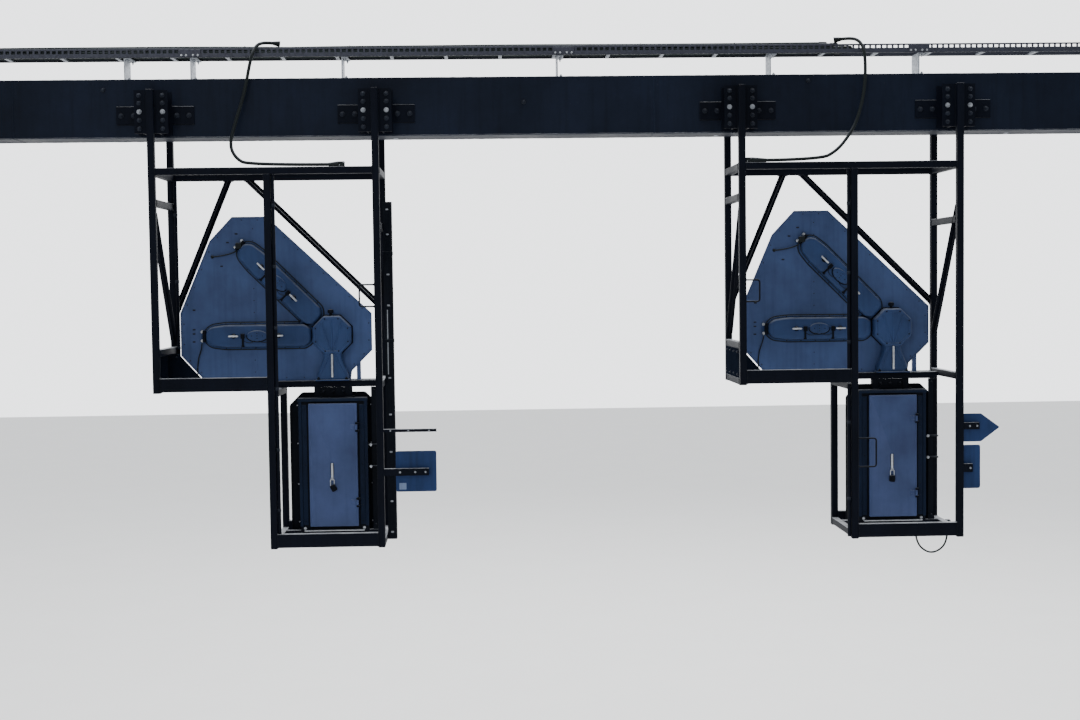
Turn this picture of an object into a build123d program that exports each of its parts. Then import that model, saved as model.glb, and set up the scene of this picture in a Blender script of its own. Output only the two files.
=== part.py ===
from build123d import *
import math
import os

# All sizes are in millimetres. X runs along the boom, Y points away from the ladder side
# of the cages, Z points up, and Z = 0 is the ground under the base plates.

# Boom, a welded box beam
BOOM_OVERHANG = 250
BOOM_HEIGHT = 420
BOOM_WIDTH = 300
BOOM_WALL = 10
BOOM_BOTTOM = 6955
END_PLATE_THICKNESS = 15

# Columns
COLUMN_SPAN = 14000
COLUMN_DIAMETER = 355.6
COLUMN_WALL = 16
COLUMN_SIDES = 16
SEAT_PLATE_X = 450
SEAT_PLATE_Y = 400
SEAT_PLATE_THICKNESS = 25

# Base plates and their anchor bolt holes
BASE_X = 720
BASE_Y = 1140
BASE_THICKNESS = 50
BASE_HOLE_DIAMETER = 42
BASE_HOLE_SPACING_X = 560
BASE_HOLE_SPACING_Y = 980
GUSSET_HEIGHT = 280
GUSSET_REACH = 150
GUSSET_NOSE = 40
GUSSET_THICKNESS = 20
GUSSET_CLEARANCE = 0.3

# Cable tray on stub posts above the boom
TRAY_LIFT = 165
TRAY_WIDTH = 200
TRAY_SIDE_HEIGHT = 65
TRAY_GAUGE = 4
TRAY_RUNG_WIDTH = 25
TRAY_RUNG_HEIGHT = 12
TRAY_RUNG_PITCH = 400
STUB_DEPTH = 180
STUB_THICKNESS = 8
STUB_FLANGE = 50
STUB_PITCH = 1580
STUB_END_MARGIN = 200
TRAY_JOINT_X = 2690
TRAY_SPLICE_X = -2680
CABLE_DIAMETER = 38
CABLE_SPACING = 1
CABLE_SEAT_GAP = 0.3
CABLE_SIDES = 8
CABLES_END = 2180
RISER_X = 220
RISER_Y = 110
RISER_CLEARANCE = 25
RISER_HEAD_LENGTH = 320
RISER_HEAD_HEIGHT = 150
RISER_HEAD_MARGIN = 10

# Hanging cages: two alike, one each side of the middle
CAGE_OFFSET = 2127
SECTION = 50
SECTION_WALL = 4
CAGE_HALF_WIDTH = 825
CAGE_HALF_DEPTH = 350
MIDDLE_POST_X = 20
POST_TOP = 7280
TOP_RAIL_TOP = 6720
CAGE_FLOOR = 5150
CAGE_BOTTOM = 3960
FLOOR_BEAM_HEIGHT = 100
FLOOR_BEAM_TOP = 5209
BOTTOM_RAIL_BOTTOM = 3965
LEFT_TIE_TOPS = (6500, 5415)
RIGHT_TIE_TOP = 6320
RIGHT_FLOOR_TIE_TOP = 5170
BRACE_WIDTH = 50
BRACE_GAUGE = 6
FAR_BRACE_FOOT = 5700
FAR_BRACE_TOPS = (-370, -210)

# Hanger brackets between the boom and the cage posts
HANGER_PLATE_WIDTH = 240
HANGER_PLATE_BOTTOM = 6970
HANGER_PLATE_THICKNESS = 12
HANGER_ARM_WIDTH = 560
HANGER_ARM_BOTTOM = 7050
HANGER_ARM_HEIGHT = 125
HANGER_WEB_SPACING = 110
HANGER_WEB_THICKNESS = 10

# Route indicator: a board with two arms of lamps that meet at a pivot housing
BOARD_BACK = 175
BOARD_THICKNESS = 4
BOARD_OUTLINE = (
    (-540, 5150), (-720, 5350), (-720, 5670), (-490, 6210), (-320, 6390),
    (-60, 6390), (715, 5655), (715, 5375), (560, 5220), (550, 5150),
)
BOARD_UPRIGHTS = ((-335, 6300), (610, 5700))
BOARD_UPRIGHT_SIZE = 30
PIVOT_X = 420
PIVOT_Z = 5495
PIVOT_ACROSS_FLATS = 287
PIVOT_DEPTH = 95
PIVOT_RIB_WIDTH = 12
PIVOT_RIB_HEIGHT = 7
NECK_WIDTH = 130
NECK_Z = 5370
STAND_WIDTH = 235
STAND_PAD_HEIGHT = 40
ARM_REACH = 960
ARM_WIDTH = 198
ARM_FLANGE_DEPTH = 8
ARM_FLANGE_WIDTH = 14
ARM_DEPTH = 60
ARM_CHAMFER = 50
ARM_EDGE = 10
ARM_ANGLES = (180, 135)
HANDLE_PLACES = (400, 735)
HANDLE_LENGTH = 75
HANDLE_RADIUS = 7
HANDLE_STEM_RADIUS = 5
HANDLE_STAND_OFF = 28
HANDLE_SIDES = 6
BOSS_PLACE = 560
BOSS_LENGTH = 150
BOSS_WIDTH = 80
BOSS_CHAMFER = 26
BOSS_DEPTH = 14
RIB_TOP = 120
RIB_SPREAD = 86
RIB_FOOT_SPREAD = 10
NECK_BACK = 10
LAMP_PITCH = 215
LAMPS_PER_ARM = 4
LAMP_RADIUS = 65
LAMP_HOOD_LENGTH = 50
HOOD_WALL = 4
HOOD_COLLAR = 12
LAMP_SIDES = 8
LENS_CLEARANCE = 0.5
LENS_DEPTH = 14
LENS_BEVEL = 7

# Signal head
HEAD_X = 416
HEAD_BACK = 100
HEAD_DEPTH = 105
HEAD_WIDTH = 512
HEAD_BOTTOM = 4015
HEAD_TOP = 5020
HEAD_WALL = 4
HEAD_OPENING_WIDTH = 320
HEAD_OPENING_HEIGHT = 880
HEAD_HANGER_SPACING = 240
HEAD_HANGER_SIZE = 45
HEAD_CARRIER_BACK = 135
BACKBOARD_WIDTH = 600
BACKBOARD_BOTTOM = 3900
BACKBOARD_TOP = 5060
BACKBOARD_CORNER = 90
BACKBOARD_THICKNESS = 4
ASPECT_PITCH = 320
ASPECT_RADIUS = 108
ASPECT_HOOD_LENGTH = 240
ASPECT_SIDES = 12
LAMP_UNIT_RADIUS = 92
LAMP_UNIT_DEPTH = 58

# Rear door of the signal head, hung on two lift-off hinges
DOOR_WIDTH = 364
DOOR_BOTTOM = 4050
DOOR_TOP = 4980
DOOR_THICKNESS = 20
DOOR_GAUGE = 3
DOOR_SEAL_GAP = 6
DOOR_SIDE_GAP = 5
HINGE_INSET = 6
HINGE_PIN_RADIUS = 5
HINGE_RUNNING_GAP = 0.1
HINGE_BARREL_RADIUS = 9
HINGE_LUG_RADIUS = 7.5
HINGE_BARREL_HEIGHT = 40
HINGE_KNUCKLE_SIDES = 8
HINGE_END_GAP = 1
HINGE_LUG_HEIGHT = 14
HINGE_LEAF = 40
HINGE_PLACES = (4230, 4800)
HASP_X = 406
HASP_TOP = 4530
HASP_BOTTOM = 4400
HASP_WIDTH = 16
HASP_CHAMFER = 5
HASP_THICKNESS = 6
PADLOCK_WIDTH = 42
PADLOCK_HEIGHT = 50
PADLOCK_DEPTH = 22
PADLOCK_CHAMFER = 8
PADLOCK_GAP = 1
SHACKLE_RADIUS = 3.5
SHACKLE_HEIGHT = 46
SHACKLE_OVERLAP = 10
SHACKLE_INSET = 7
SHACKLE_SIDES = 6

# Signs beside the near right-hand posts, reaches from each post's outer face
SIGN_GAUGE = 3
SIGN_CHANNEL_DEPTH = 38
SIGN_CHANNEL_INSET = 5
SIGN_CORNER = 12
LEFT_PLATE = (85, 377, 4358, 4652)
LEFT_CHANNEL = (325, 4478, 4529)
LEFT_BAR = (384, 4796, 4817)
RIGHT_ARROW = (5, 140, 280, 4656, 4864)
RIGHT_ARROW_CHANNEL = (118, 4750, 4800)
RIGHT_PLATE = (5, 133, 4312, 4630)
RIGHT_PLATE_CHANNEL = (68, 4435, 4495)

# Grab loops on the near posts
LOOP_ROD_RADIUS = 6
LOOP_ROD_SIDES = 6
LOOP_CORNER = 14
LOOP_BOTTOM = 5710
LOOP_TOP = 5868
LEFT_LOOP_REACH = 108
RIGHT_LOOP_REACH = 100
LOW_LOOP_BOTTOM = 4485
LOW_LOOP_TOP = 4695
LOW_LOOP_REACH = 136

# Cable duct on the right side of the left cage
DUCT_X = 66
DUCT_Y = 70
DUCT_WALL = 2
DUCT_TOP = 6480

# Loose cables
DROP_DIAMETER = 24
SLACK_DIAMETER = 14
LOOSE_CABLE_SIDES = 6
GLAND_LENGTH = 45
GLAND_SIZE = 36
LEFT_DROP_POINTS = (
    (-2035, -20, 7644), (-2140, -48, 7662), (-2226, -124, 7630), (-2266, -192, 7505),
    (-2308, -196, 7270), (-2370, -212, 7035), (-2387, -262, 6885), (-2331, -302, 6789),
    (-2237, -325, 6735), (-1592, -325, 6735),
)
RIGHT_DROP_POINTS = (
    (2072, -20, 7644), (2182, -46, 7661), (2252, -128, 7620), (2268, -192, 7495),
    (2262, -197, 7260), (2205, -212, 7040), (2130, -250, 6915), (2030, -295, 6802),
    (1900, -325, 6735), (1400, -325, 6735),
)
SLACK_POINTS = (
    (595, 117, 4015), (595, 116, 3905), (626, 110, 3805), (715, 105, 3752),
    (806, 101, 3795), (842, 100, 3880), (842, 99, 3965),
)

# Sizes that follow from the ones above
BOOM_LENGTH = COLUMN_SPAN + 2 * BOOM_OVERHANG
BOOM_TOP = BOOM_BOTTOM + BOOM_HEIGHT
TRAY_BOTTOM = BOOM_TOP + TRAY_LIFT
INNER_X = CAGE_HALF_WIDTH - SECTION
INNER_Y = CAGE_HALF_DEPTH - SECTION
RAIL_BOTTOM = TOP_RAIL_TOP - SECTION
FAR_RAIL_BOTTOM = CAGE_FLOOR - SECTION
HEAD_FRONT = HEAD_BACK + HEAD_DEPTH
HEAD_MIDDLE_Z = (DOOR_BOTTOM + DOOR_TOP) / 2
DOOR_BACK = HEAD_BACK - DOOR_SEAL_GAP - DOOR_THICKNESS
HINGE_X = HEAD_X + DOOR_WIDTH / 2 - HINGE_INSET
HINGE_Y = DOOR_BACK - HINGE_BARREL_RADIUS
CAGES = {"left": -CAGE_OFFSET, "right": CAGE_OFFSET}


def block(x, y, z):
    """Box between two limits on each axis."""
    centre = ((x[0] + x[1]) / 2, (y[0] + y[1]) / 2, (z[0] + z[1]) / 2)
    return Pos(*centre) * Box(x[1] - x[0], y[1] - y[0], z[1] - z[0])


def hollow(x, y, z, along, wall=SECTION_WALL):
    """Hollow section that fills the box and is open at both ends of one axis."""
    limits = {"x": x, "y": y, "z": z}
    inner = {name: (a + wall, b - wall) for name, (a, b) in limits.items()}
    inner[along] = limits[along]
    return block(x, y, z) - block(inner["x"], inner["y"], inner["z"])


def upright(outline, y0, y1):
    """Extrude an outline drawn in X and Z between two places along Y."""
    return extrude(Plane.XZ.offset(-y1) * outline, y1 - y0, dir=(0, -1, 0))


def sideways(outline, x0, x1):
    """Extrude an outline drawn in Y and Z between two places along X."""
    return extrude(Plane.YZ.offset(x0) * outline, x1 - x0, dir=(1, 0, 0))


def rod_y(x, z, radius, y0, y1):
    """Round rod along Y."""
    return upright(Pos(x, z) * Circle(radius), y0, y1)


def centred(middle, size):
    """Limits of a size about a middle."""
    return (middle - size / 2, middle + size / 2)


def many_sided(radius, sides):
    """Outline of a round bar with few sides, its flats at the radius."""
    return RegularPolygon(radius, sides, major_radius=False, rotation=180 / sides)


def cut_corners(width, height, corner):
    """Rectangle with its corners cut at 45 degrees."""
    return chamfer(Rectangle(width, height).vertices(), corner)


def column_tube(x):
    """Round hollow column from its base plate to its cap plate."""
    height = BOOM_BOTTOM - 2 * SEAT_PLATE_THICKNESS - BASE_THICKNESS
    radius = COLUMN_DIAMETER / 2
    ring = many_sided(radius, COLUMN_SIDES) - many_sided(radius - COLUMN_WALL, COLUMN_SIDES)
    return Pos(x, 0, BASE_THICKNESS) * extrude(ring, height)


def gusset():
    """Tapered stiffener plate that runs out along X from the column's face."""
    start = COLUMN_DIAMETER / 2 + GUSSET_CLEARANCE
    end = start + GUSSET_REACH
    outline = Polygon(
        (start, 0), (end, 0), (end, GUSSET_NOSE), (start + GUSSET_NOSE, GUSSET_HEIGHT),
        (start, GUSSET_HEIGHT), align=None,
    )
    return upright(outline, -GUSSET_THICKNESS / 2, GUSSET_THICKNESS / 2)


def base_plate(x):
    """Base plate with four anchor holes and four gussets."""
    plate = extrude(Rectangle(BASE_X, BASE_Y), BASE_THICKNESS)
    holes = GridLocations(BASE_HOLE_SPACING_X, BASE_HOLE_SPACING_Y, 2, 2)
    for spot in holes:
        plate -= spot * extrude(Circle(BASE_HOLE_DIAMETER / 2), BASE_THICKNESS)
    for turn in range(4):
        plate += Pos(0, 0, BASE_THICKNESS) * Rot(0, 0, 45 + 90 * turn) * gusset()
    return Pos(x, 0, 0) * plate


def seat_plates(bottom):
    """A square plate over each column."""
    z = (bottom, bottom + SEAT_PLATE_THICKNESS)
    middles = (-COLUMN_SPAN / 2, COLUMN_SPAN / 2)
    return [block(centred(x, SEAT_PLATE_X), centred(0, SEAT_PLATE_Y), z) for x in middles]


def boom_beam():
    """Box beam, open at its ends."""
    z = (BOOM_BOTTOM, BOOM_TOP)
    return hollow(centred(0, BOOM_LENGTH), centred(0, BOOM_WIDTH), z, "x", BOOM_WALL)


def boom_end_plates():
    """Plates that close the boom's ends."""
    end = BOOM_LENGTH / 2
    y, z = centred(0, BOOM_WIDTH), (BOOM_BOTTOM, BOOM_TOP)
    outer = end + END_PLATE_THICKNESS
    return [block((-outer, -end), y, z), block((end, outer), y, z)]


def tray_span():
    """Limits of the tray along X, from the riser's head to the far column."""
    return -COLUMN_SPAN / 2 + RISER_HEAD_LENGTH / 2, COLUMN_SPAN / 2


def tray_side_rails():
    """The two side rails of the ladder tray."""
    z = (TRAY_BOTTOM, TRAY_BOTTOM + TRAY_SIDE_HEIGHT)
    half = TRAY_WIDTH / 2
    near, far = (-half, TRAY_GAUGE - half), (half - TRAY_GAUGE, half)
    return [block(tray_span(), near, z), block(tray_span(), far, z)]


def tray_rungs():
    """Rungs between the tray's side rails."""
    start, end = tray_span()
    count = int((end - start - TRAY_RUNG_WIDTH) / TRAY_RUNG_PITCH) + 1
    y = centred(0, TRAY_WIDTH - 2 * TRAY_GAUGE)
    z = (TRAY_BOTTOM, TRAY_BOTTOM + TRAY_RUNG_HEIGHT)
    middles = [start + TRAY_RUNG_WIDTH + index * TRAY_RUNG_PITCH for index in range(count)]
    return [block(centred(x, TRAY_RUNG_WIDTH), y, z) for x in middles]


def stub_places():
    """Stub posts at an even pitch from the middle and from the tray's joint, and one at a splice."""
    start, end = tray_span()
    low, high = start + STUB_END_MARGIN, end - STUB_END_MARGIN
    places = [TRAY_SPLICE_X]
    for index in range(-int(COLUMN_SPAN / STUB_PITCH), int(COLUMN_SPAN / STUB_PITCH) + 1):
        from_middle = index * STUB_PITCH
        from_joint = TRAY_JOINT_X + index * STUB_PITCH
        if low < from_middle < TRAY_JOINT_X:
            places.append(from_middle)
        if TRAY_JOINT_X <= from_joint < high:
            places.append(from_joint)
    return places


def tray_stub(x):
    """Folded channel on edge, with its flanges on the boom and under the tray."""
    y = centred(0, STUB_DEPTH)
    web = block((x, x + STUB_THICKNESS), y, (BOOM_TOP, TRAY_BOTTOM))
    foot = block((x, x + STUB_FLANGE), y, (BOOM_TOP, BOOM_TOP + STUB_THICKNESS))
    head = block((x, x + STUB_FLANGE), y, (TRAY_BOTTOM - STUB_THICKNESS, TRAY_BOTTOM))
    return web + foot + head


def tray_cables():
    """Cables laid in the tray in two layers, from the riser to the last outlet."""
    step = CABLE_DIAMETER + CABLE_SPACING
    low = TRAY_BOTTOM + TRAY_RUNG_HEIGHT + CABLE_DIAMETER / 2 + CABLE_SEAT_GAP
    high = low + CABLE_DIAMETER + CABLE_SEAT_GAP
    places = [(y * step, low) for y in (-1.5, -0.5, 0.5, 1.5)]
    places += [(y * step, high) for y in (-1, 0, 1)]
    section = many_sided(CABLE_DIAMETER / 2, CABLE_SIDES)
    start = tray_span()[0]
    return [sideways(Pos(y, z) * section, start, CABLES_END) for y, z in places]


def cable_riser():
    """Closed trunking up the far side of the left column, with a head over the tray's end."""
    x = centred(-COLUMN_SPAN / 2, RISER_X)
    back = max(BOOM_WIDTH, SEAT_PLATE_Y) / 2 + RISER_CLEARANCE
    trunk_top = TRAY_BOTTOM - STUB_THICKNESS
    trunk = block(x, (back, back + RISER_Y), (BASE_THICKNESS, trunk_top))
    head_x = centred(-COLUMN_SPAN / 2, RISER_HEAD_LENGTH)
    head_y = (-TRAY_WIDTH / 2 - RISER_HEAD_MARGIN, back + RISER_Y)
    return trunk + block(head_x, head_y, (trunk_top, trunk_top + RISER_HEAD_HEIGHT))


def posts():
    """Upright hollow sections of one cage."""
    near, far = (-CAGE_HALF_DEPTH, -INNER_Y), (INNER_Y, CAGE_HALF_DEPTH)
    left, right = (-CAGE_HALF_WIDTH, -INNER_X), (INNER_X, CAGE_HALF_WIDTH)
    middle = centred(MIDDLE_POST_X, SECTION)
    left_z = (FAR_RAIL_BOTTOM, POST_TOP)
    full_z = (CAGE_BOTTOM, POST_TOP)
    runs = [
        (left, near, left_z), (left, far, left_z), (right, near, full_z), (right, far, full_z),
        (middle, near, (CAGE_BOTTOM, RAIL_BOTTOM)), (middle, far, (CAGE_BOTTOM, FAR_RAIL_BOTTOM)),
    ]
    return [hollow(x, y, z, "z") for x, y, z in runs]


def cage_rails():
    """Members of one cage that run along X."""
    near, far = (-CAGE_HALF_DEPTH, -INNER_Y), (INNER_Y, CAGE_HALF_DEPTH)
    whole = (-INNER_X, INNER_X)
    to_middle = (-INNER_X, MIDDLE_POST_X - SECTION / 2)
    from_middle = (MIDDLE_POST_X + SECTION / 2, INNER_X)
    top_z = (RAIL_BOTTOM, TOP_RAIL_TOP)
    floor_z = (FAR_RAIL_BOTTOM, CAGE_FLOOR)
    bottom_z = (BOTTOM_RAIL_BOTTOM, BOTTOM_RAIL_BOTTOM + FLOOR_BEAM_HEIGHT)
    carrier_z = (BOTTOM_RAIL_BOTTOM, HEAD_BOTTOM)
    runs = [
        (whole, near, top_z), (whole, far, top_z), (whole, far, floor_z),
        (to_middle, near, (FLOOR_BEAM_TOP - FLOOR_BEAM_HEIGHT, FLOOR_BEAM_TOP)),
        (whole, centred(BOARD_BACK, SECTION), floor_z),
        (from_middle, near, bottom_z), (from_middle, far, bottom_z),
        (from_middle, (HEAD_CARRIER_BACK, HEAD_CARRIER_BACK + SECTION), carrier_z),
    ]
    return [hollow(x, y, z, "x") for x, y, z in runs]


def cage_ties():
    """Members of one cage that run along Y between the near and far sides."""
    left, right = (-CAGE_HALF_WIDTH, -INNER_X), (INNER_X, CAGE_HALF_WIDTH)
    middle = centred(MIDDLE_POST_X, SECTION)
    tops = [(left, top) for top in (TOP_RAIL_TOP, CAGE_FLOOR) + LEFT_TIE_TOPS]
    right_tops = (TOP_RAIL_TOP, RIGHT_TIE_TOP, RIGHT_FLOOR_TIE_TOP, HEAD_BOTTOM)
    tops += [(right, top) for top in right_tops]
    tops += [(middle, FAR_RAIL_BOTTOM), (middle, HEAD_BOTTOM)]
    return [hollow(x, (-INNER_Y, INNER_Y), (top - SECTION, top), "y") for x, top in tops]


def strip(start, end, width, cut):
    """Slanted strip between two points, its ends cut upright or level."""
    dx, dz = end[0] - start[0], end[1] - start[1]
    half = width * math.hypot(dx, dz) / 2
    a, b = [(0, half / abs(dx)) if way == "upright" else (half / abs(dz), 0) for way in cut]
    sign = -1 if dx * dz > 0 and cut[0] != cut[1] else 1
    corners = [
        (start[0] - a[0], start[1] - a[1]), (end[0] - sign * b[0], end[1] - sign * b[1]),
        (end[0] + sign * b[0], end[1] + sign * b[1]), (start[0] + a[0], start[1] + a[1]),
    ]
    return Polygon(*corners, align=None)


def cage_braces():
    """Two braces in the far side that spread from the top rail, and one in the left side."""
    braces = []
    for top, foot in zip(FAR_BRACE_TOPS, (-INNER_X, INNER_X)):
        outline = strip((top, RAIL_BOTTOM), (foot, FAR_BRACE_FOOT), BRACE_WIDTH, ("level", "upright"))
        web = upright(outline, CAGE_HALF_DEPTH - BRACE_GAUGE, CAGE_HALF_DEPTH)
        braces.append(web + brace_flange(top, foot))
    side_top = LEFT_TIE_TOPS[0] - SECTION - BRACE_WIDTH
    side_foot = LEFT_TIE_TOPS[1] + BRACE_WIDTH
    side = strip((-INNER_Y, side_top), (INNER_Y, side_foot), BRACE_WIDTH, ("upright", "upright"))
    braces.append(sideways(side, *centred(-INNER_X - SECTION / 2, BRACE_GAUGE)))
    return braces


def brace_flange(top, foot):
    """Standing leg along the middle of a far brace, as on a rolled tee."""
    outline = strip((top, RAIL_BOTTOM), (foot, FAR_BRACE_FOOT), BRACE_GAUGE, ("level", "upright"))
    return upright(outline, CAGE_HALF_DEPTH - BRACE_WIDTH, CAGE_HALF_DEPTH)


def hanger_bracket(x, side):
    """Stand-off from the boom's face to a post: arm plate, two webs and a post plate."""
    face = BOOM_WIDTH / 2
    arm_y = (face, face + HANGER_PLATE_THICKNESS)
    plate_y = (INNER_Y - HANGER_PLATE_THICKNESS, INNER_Y)
    plate_z = (HANGER_PLATE_BOTTOM, POST_TOP)
    arm_z = (HANGER_ARM_BOTTOM, HANGER_ARM_BOTTOM + HANGER_ARM_HEIGHT)
    bracket = block(centred(x, HANGER_ARM_WIDTH), arm_y, arm_z)
    bracket += block(centred(x, HANGER_PLATE_WIDTH), arm_y, plate_z)
    bracket += block(centred(x, HANGER_PLATE_WIDTH), plate_y, plate_z)
    for offset in (-HANGER_WEB_SPACING / 2, HANGER_WEB_SPACING / 2):
        bracket += block(centred(x + offset, HANGER_WEB_THICKNESS), (face, INNER_Y), plate_z)
    return bracket if side > 0 else bracket.mirror(Plane.XZ)


def hanger_brackets():
    """The four brackets of one cage, at its corner posts."""
    reach = CAGE_HALF_WIDTH - SECTION / 2
    return [hanger_bracket(x, side) for x in (-reach, reach) for side in (-1, 1)]


def indicator_board():
    """Flat board with two uprights behind it that stand on the floor rail."""
    board = upright(Polygon(*BOARD_OUTLINE, align=None), BOARD_BACK, BOARD_BACK + BOARD_THICKNESS)
    y = (BOARD_BACK + BOARD_THICKNESS, BOARD_BACK + BOARD_THICKNESS + BOARD_UPRIGHT_SIZE)
    for x, top in BOARD_UPRIGHTS:
        board += block(centred(x, BOARD_UPRIGHT_SIZE), y, (CAGE_FLOOR, top))
    return board


def about_pivot(angle, along, outline):
    """Place an outline on an arm, at a distance along it from the pivot."""
    return Pos(PIVOT_X, PIVOT_Z) * Rot(0, 0, angle) * Pos(along, 0) * outline


def tee_handle(angle, along):
    """Stem and cross bar that release an arm's cover."""
    direction = Vector(1, 0).rotate(Axis.Z, angle)
    x, z = PIVOT_X + direction.X * along, PIVOT_Z + direction.Y * along
    face = BOARD_BACK - ARM_DEPTH
    bar_y = face - HANDLE_STAND_OFF
    stem = upright(Pos(x, z) * many_sided(HANDLE_STEM_RADIUS, HANDLE_SIDES), bar_y, face)
    bar = extrude(many_sided(HANDLE_RADIUS, HANDLE_SIDES), HANDLE_LENGTH / 2, both=True)
    return stem + Pos(x, bar_y, z) * Rot(0, 90 - angle, 0) * bar


def indicator_arm(angle):
    """Cover over the back of one arm's lamps: a flange, a raised pan, a boss and two handles."""
    inner = PIVOT_ACROSS_FLATS / 2 + LENS_CLEARANCE
    length, middle = ARM_REACH - inner, (ARM_REACH + inner) / 2
    margin = 2 * ARM_FLANGE_WIDTH
    rim = cut_corners(length, ARM_WIDTH, ARM_CHAMFER)
    pan = cut_corners(length - margin, ARM_WIDTH - margin, ARM_CHAMFER - ARM_FLANGE_WIDTH / 2)
    cover = upright(about_pivot(angle, middle, pan), BOARD_BACK - ARM_DEPTH, BOARD_BACK)
    cover = chamfer(cover.faces().sort_by(Axis.Y)[0].edges(), ARM_EDGE)
    cover += upright(about_pivot(angle, middle, rim), BOARD_BACK - ARM_FLANGE_DEPTH, BOARD_BACK)
    boss = about_pivot(angle, BOSS_PLACE, cut_corners(BOSS_LENGTH, BOSS_WIDTH, BOSS_CHAMFER))
    cover += upright(boss, BOARD_BACK - ARM_DEPTH - BOSS_DEPTH, BOARD_BACK - ARM_DEPTH)
    for along in HANDLE_PLACES:
        cover += tee_handle(angle, along)
    return cover


def pivot_rib(side):
    """Raised rib from the top of the pivot housing down to its neck."""
    back = BOARD_BACK - PIVOT_DEPTH
    top = (PIVOT_X + side * RIB_SPREAD, PIVOT_Z + RIB_TOP)
    foot = (PIVOT_X + side * RIB_FOOT_SPREAD, NECK_Z)
    outline = strip(top, foot, PIVOT_RIB_WIDTH, ("level", "level"))
    return upright(outline, back - PIVOT_RIB_HEIGHT, back + PIVOT_RIB_HEIGHT)


def indicator_pivot():
    """Eight-sided pivot housing with fan ribs, on a waisted stand."""
    back = BOARD_BACK - PIVOT_DEPTH
    side = PIVOT_ACROSS_FLATS / 2
    octagon = Pos(PIVOT_X, PIVOT_Z) * RegularPolygon(side, 8, major_radius=False, rotation=22.5)
    housing = upright(octagon, back, BOARD_BACK)
    half_flat = side * math.tan(math.radians(22.5))
    pad_top = CAGE_FLOOR + STAND_PAD_HEIGHT
    waist = [
        (half_flat, PIVOT_Z - side + NECK_BACK), (NECK_WIDTH / 2, NECK_Z), (STAND_WIDTH / 2, pad_top),
        (STAND_WIDTH / 2, CAGE_FLOOR),
    ]
    outline = [(PIVOT_X + x, z) for x, z in waist] + [(PIVOT_X - x, z) for x, z in reversed(waist)]
    housing += upright(Polygon(*outline, align=None), back + NECK_BACK, BOARD_BACK)
    for side in (-1, 0, 1):
        housing += pivot_rib(side)
    rod = extrude(many_sided(HANDLE_RADIUS, HANDLE_SIDES), NECK_Z - pad_top)
    return housing + Pos(PIVOT_X, back, pad_top) * rod


def visor(x, z, radius, sides, length, back):
    """Tube-shaped hood, its mouth cut on a slope so that the top reaches furthest."""
    ring = many_sided(radius, sides) - many_sided(radius - HOOD_WALL, sides)
    collar, mouth = back + HOOD_COLLAR, back + length
    reach = 2 * radius
    slope = Polygon((collar, z - radius), (mouth, z), (mouth, z - reach), (collar, z - reach), align=None)
    return upright(Pos(x, z) * ring, back, mouth) - sideways(slope, x - reach, x + reach)


def lamp_places():
    """Middles of the indicator's lamps in X and Z."""
    places = [(PIVOT_X, PIVOT_Z)]
    for angle in ARM_ANGLES:
        for index in range(1, LAMPS_PER_ARM + 1):
            step = Vector(LAMP_PITCH * index, 0).rotate(Axis.Z, angle)
            places.append((PIVOT_X + step.X, PIVOT_Z + step.Y))
    return places


def aspect_places():
    """Middles of the signal head's three aspects in X and Z."""
    return [(HEAD_X, HEAD_MIDDLE_Z + step * ASPECT_PITCH) for step in (-1, 0, 1)]


def indicator_hoods():
    """Hoods of the indicator's lamps, on the front of the board."""
    front = BOARD_BACK + BOARD_THICKNESS
    return [visor(x, z, LAMP_RADIUS, LAMP_SIDES, LAMP_HOOD_LENGTH, front) for x, z in lamp_places()]


def lens(x, z, radius, sides, back):
    """Flat-faced lens."""
    return upright(Pos(x, z) * many_sided(radius, sides), back, back + LENS_DEPTH)


def crowned(lens_disc):
    """The same lens with its face bevelled."""
    return chamfer(lens_disc.faces().sort_by(Axis.Y)[-1].edges(), LENS_BEVEL)


def signal_lenses():
    """Lenses of the indicator and of the signal head."""
    gap = HOOD_WALL + LENS_CLEARANCE
    board_front = BOARD_BACK + BOARD_THICKNESS
    head_front = HEAD_FRONT + BACKBOARD_THICKNESS
    lenses = [lens(x, z, LAMP_RADIUS - gap, LAMP_SIDES, board_front) for x, z in lamp_places()]
    for x, z in aspect_places():
        lenses.append(crowned(lens(x, z, ASPECT_RADIUS - gap, ASPECT_SIDES, head_front)))
    return lenses


def head_housing():
    """Case of the signal head, open at the back behind the door, with two hanger lugs."""
    x, y, z = centred(HEAD_X, HEAD_WIDTH), (HEAD_BACK, HEAD_FRONT), (HEAD_BOTTOM, HEAD_TOP)
    inner = [(low + HEAD_WALL, high - HEAD_WALL) for low, high in (x, y, z)]
    case = block(x, y, z) - block(*inner)
    mouth_y = (HEAD_BACK, HEAD_BACK + HEAD_WALL)
    case -= block(centred(HEAD_X, HEAD_OPENING_WIDTH), mouth_y, centred(HEAD_MIDDLE_Z, HEAD_OPENING_HEIGHT))
    for offset in (-HEAD_HANGER_SPACING / 2, HEAD_HANGER_SPACING / 2):
        lug_x = centred(HEAD_X + offset, HEAD_HANGER_SIZE)
        case += block(lug_x, centred(BOARD_BACK, HEAD_HANGER_SIZE), (HEAD_TOP, FAR_RAIL_BOTTOM))
    return case


def lamp_units():
    """Backs of the three lamps, inside the case."""
    front = HEAD_FRONT - HEAD_WALL
    can = many_sided(LAMP_UNIT_RADIUS, LAMP_SIDES)
    return [upright(Pos(x, z) * can, front - LAMP_UNIT_DEPTH, front) for x, z in aspect_places()]


def backboard():
    """Flat board behind the aspects with cut corners."""
    height = BACKBOARD_TOP - BACKBOARD_BOTTOM
    outline = cut_corners(BACKBOARD_WIDTH, height, BACKBOARD_CORNER)
    middle = (BACKBOARD_TOP + BACKBOARD_BOTTOM) / 2
    return upright(Pos(HEAD_X, middle) * outline, HEAD_FRONT, HEAD_FRONT + BACKBOARD_THICKNESS)


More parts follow.
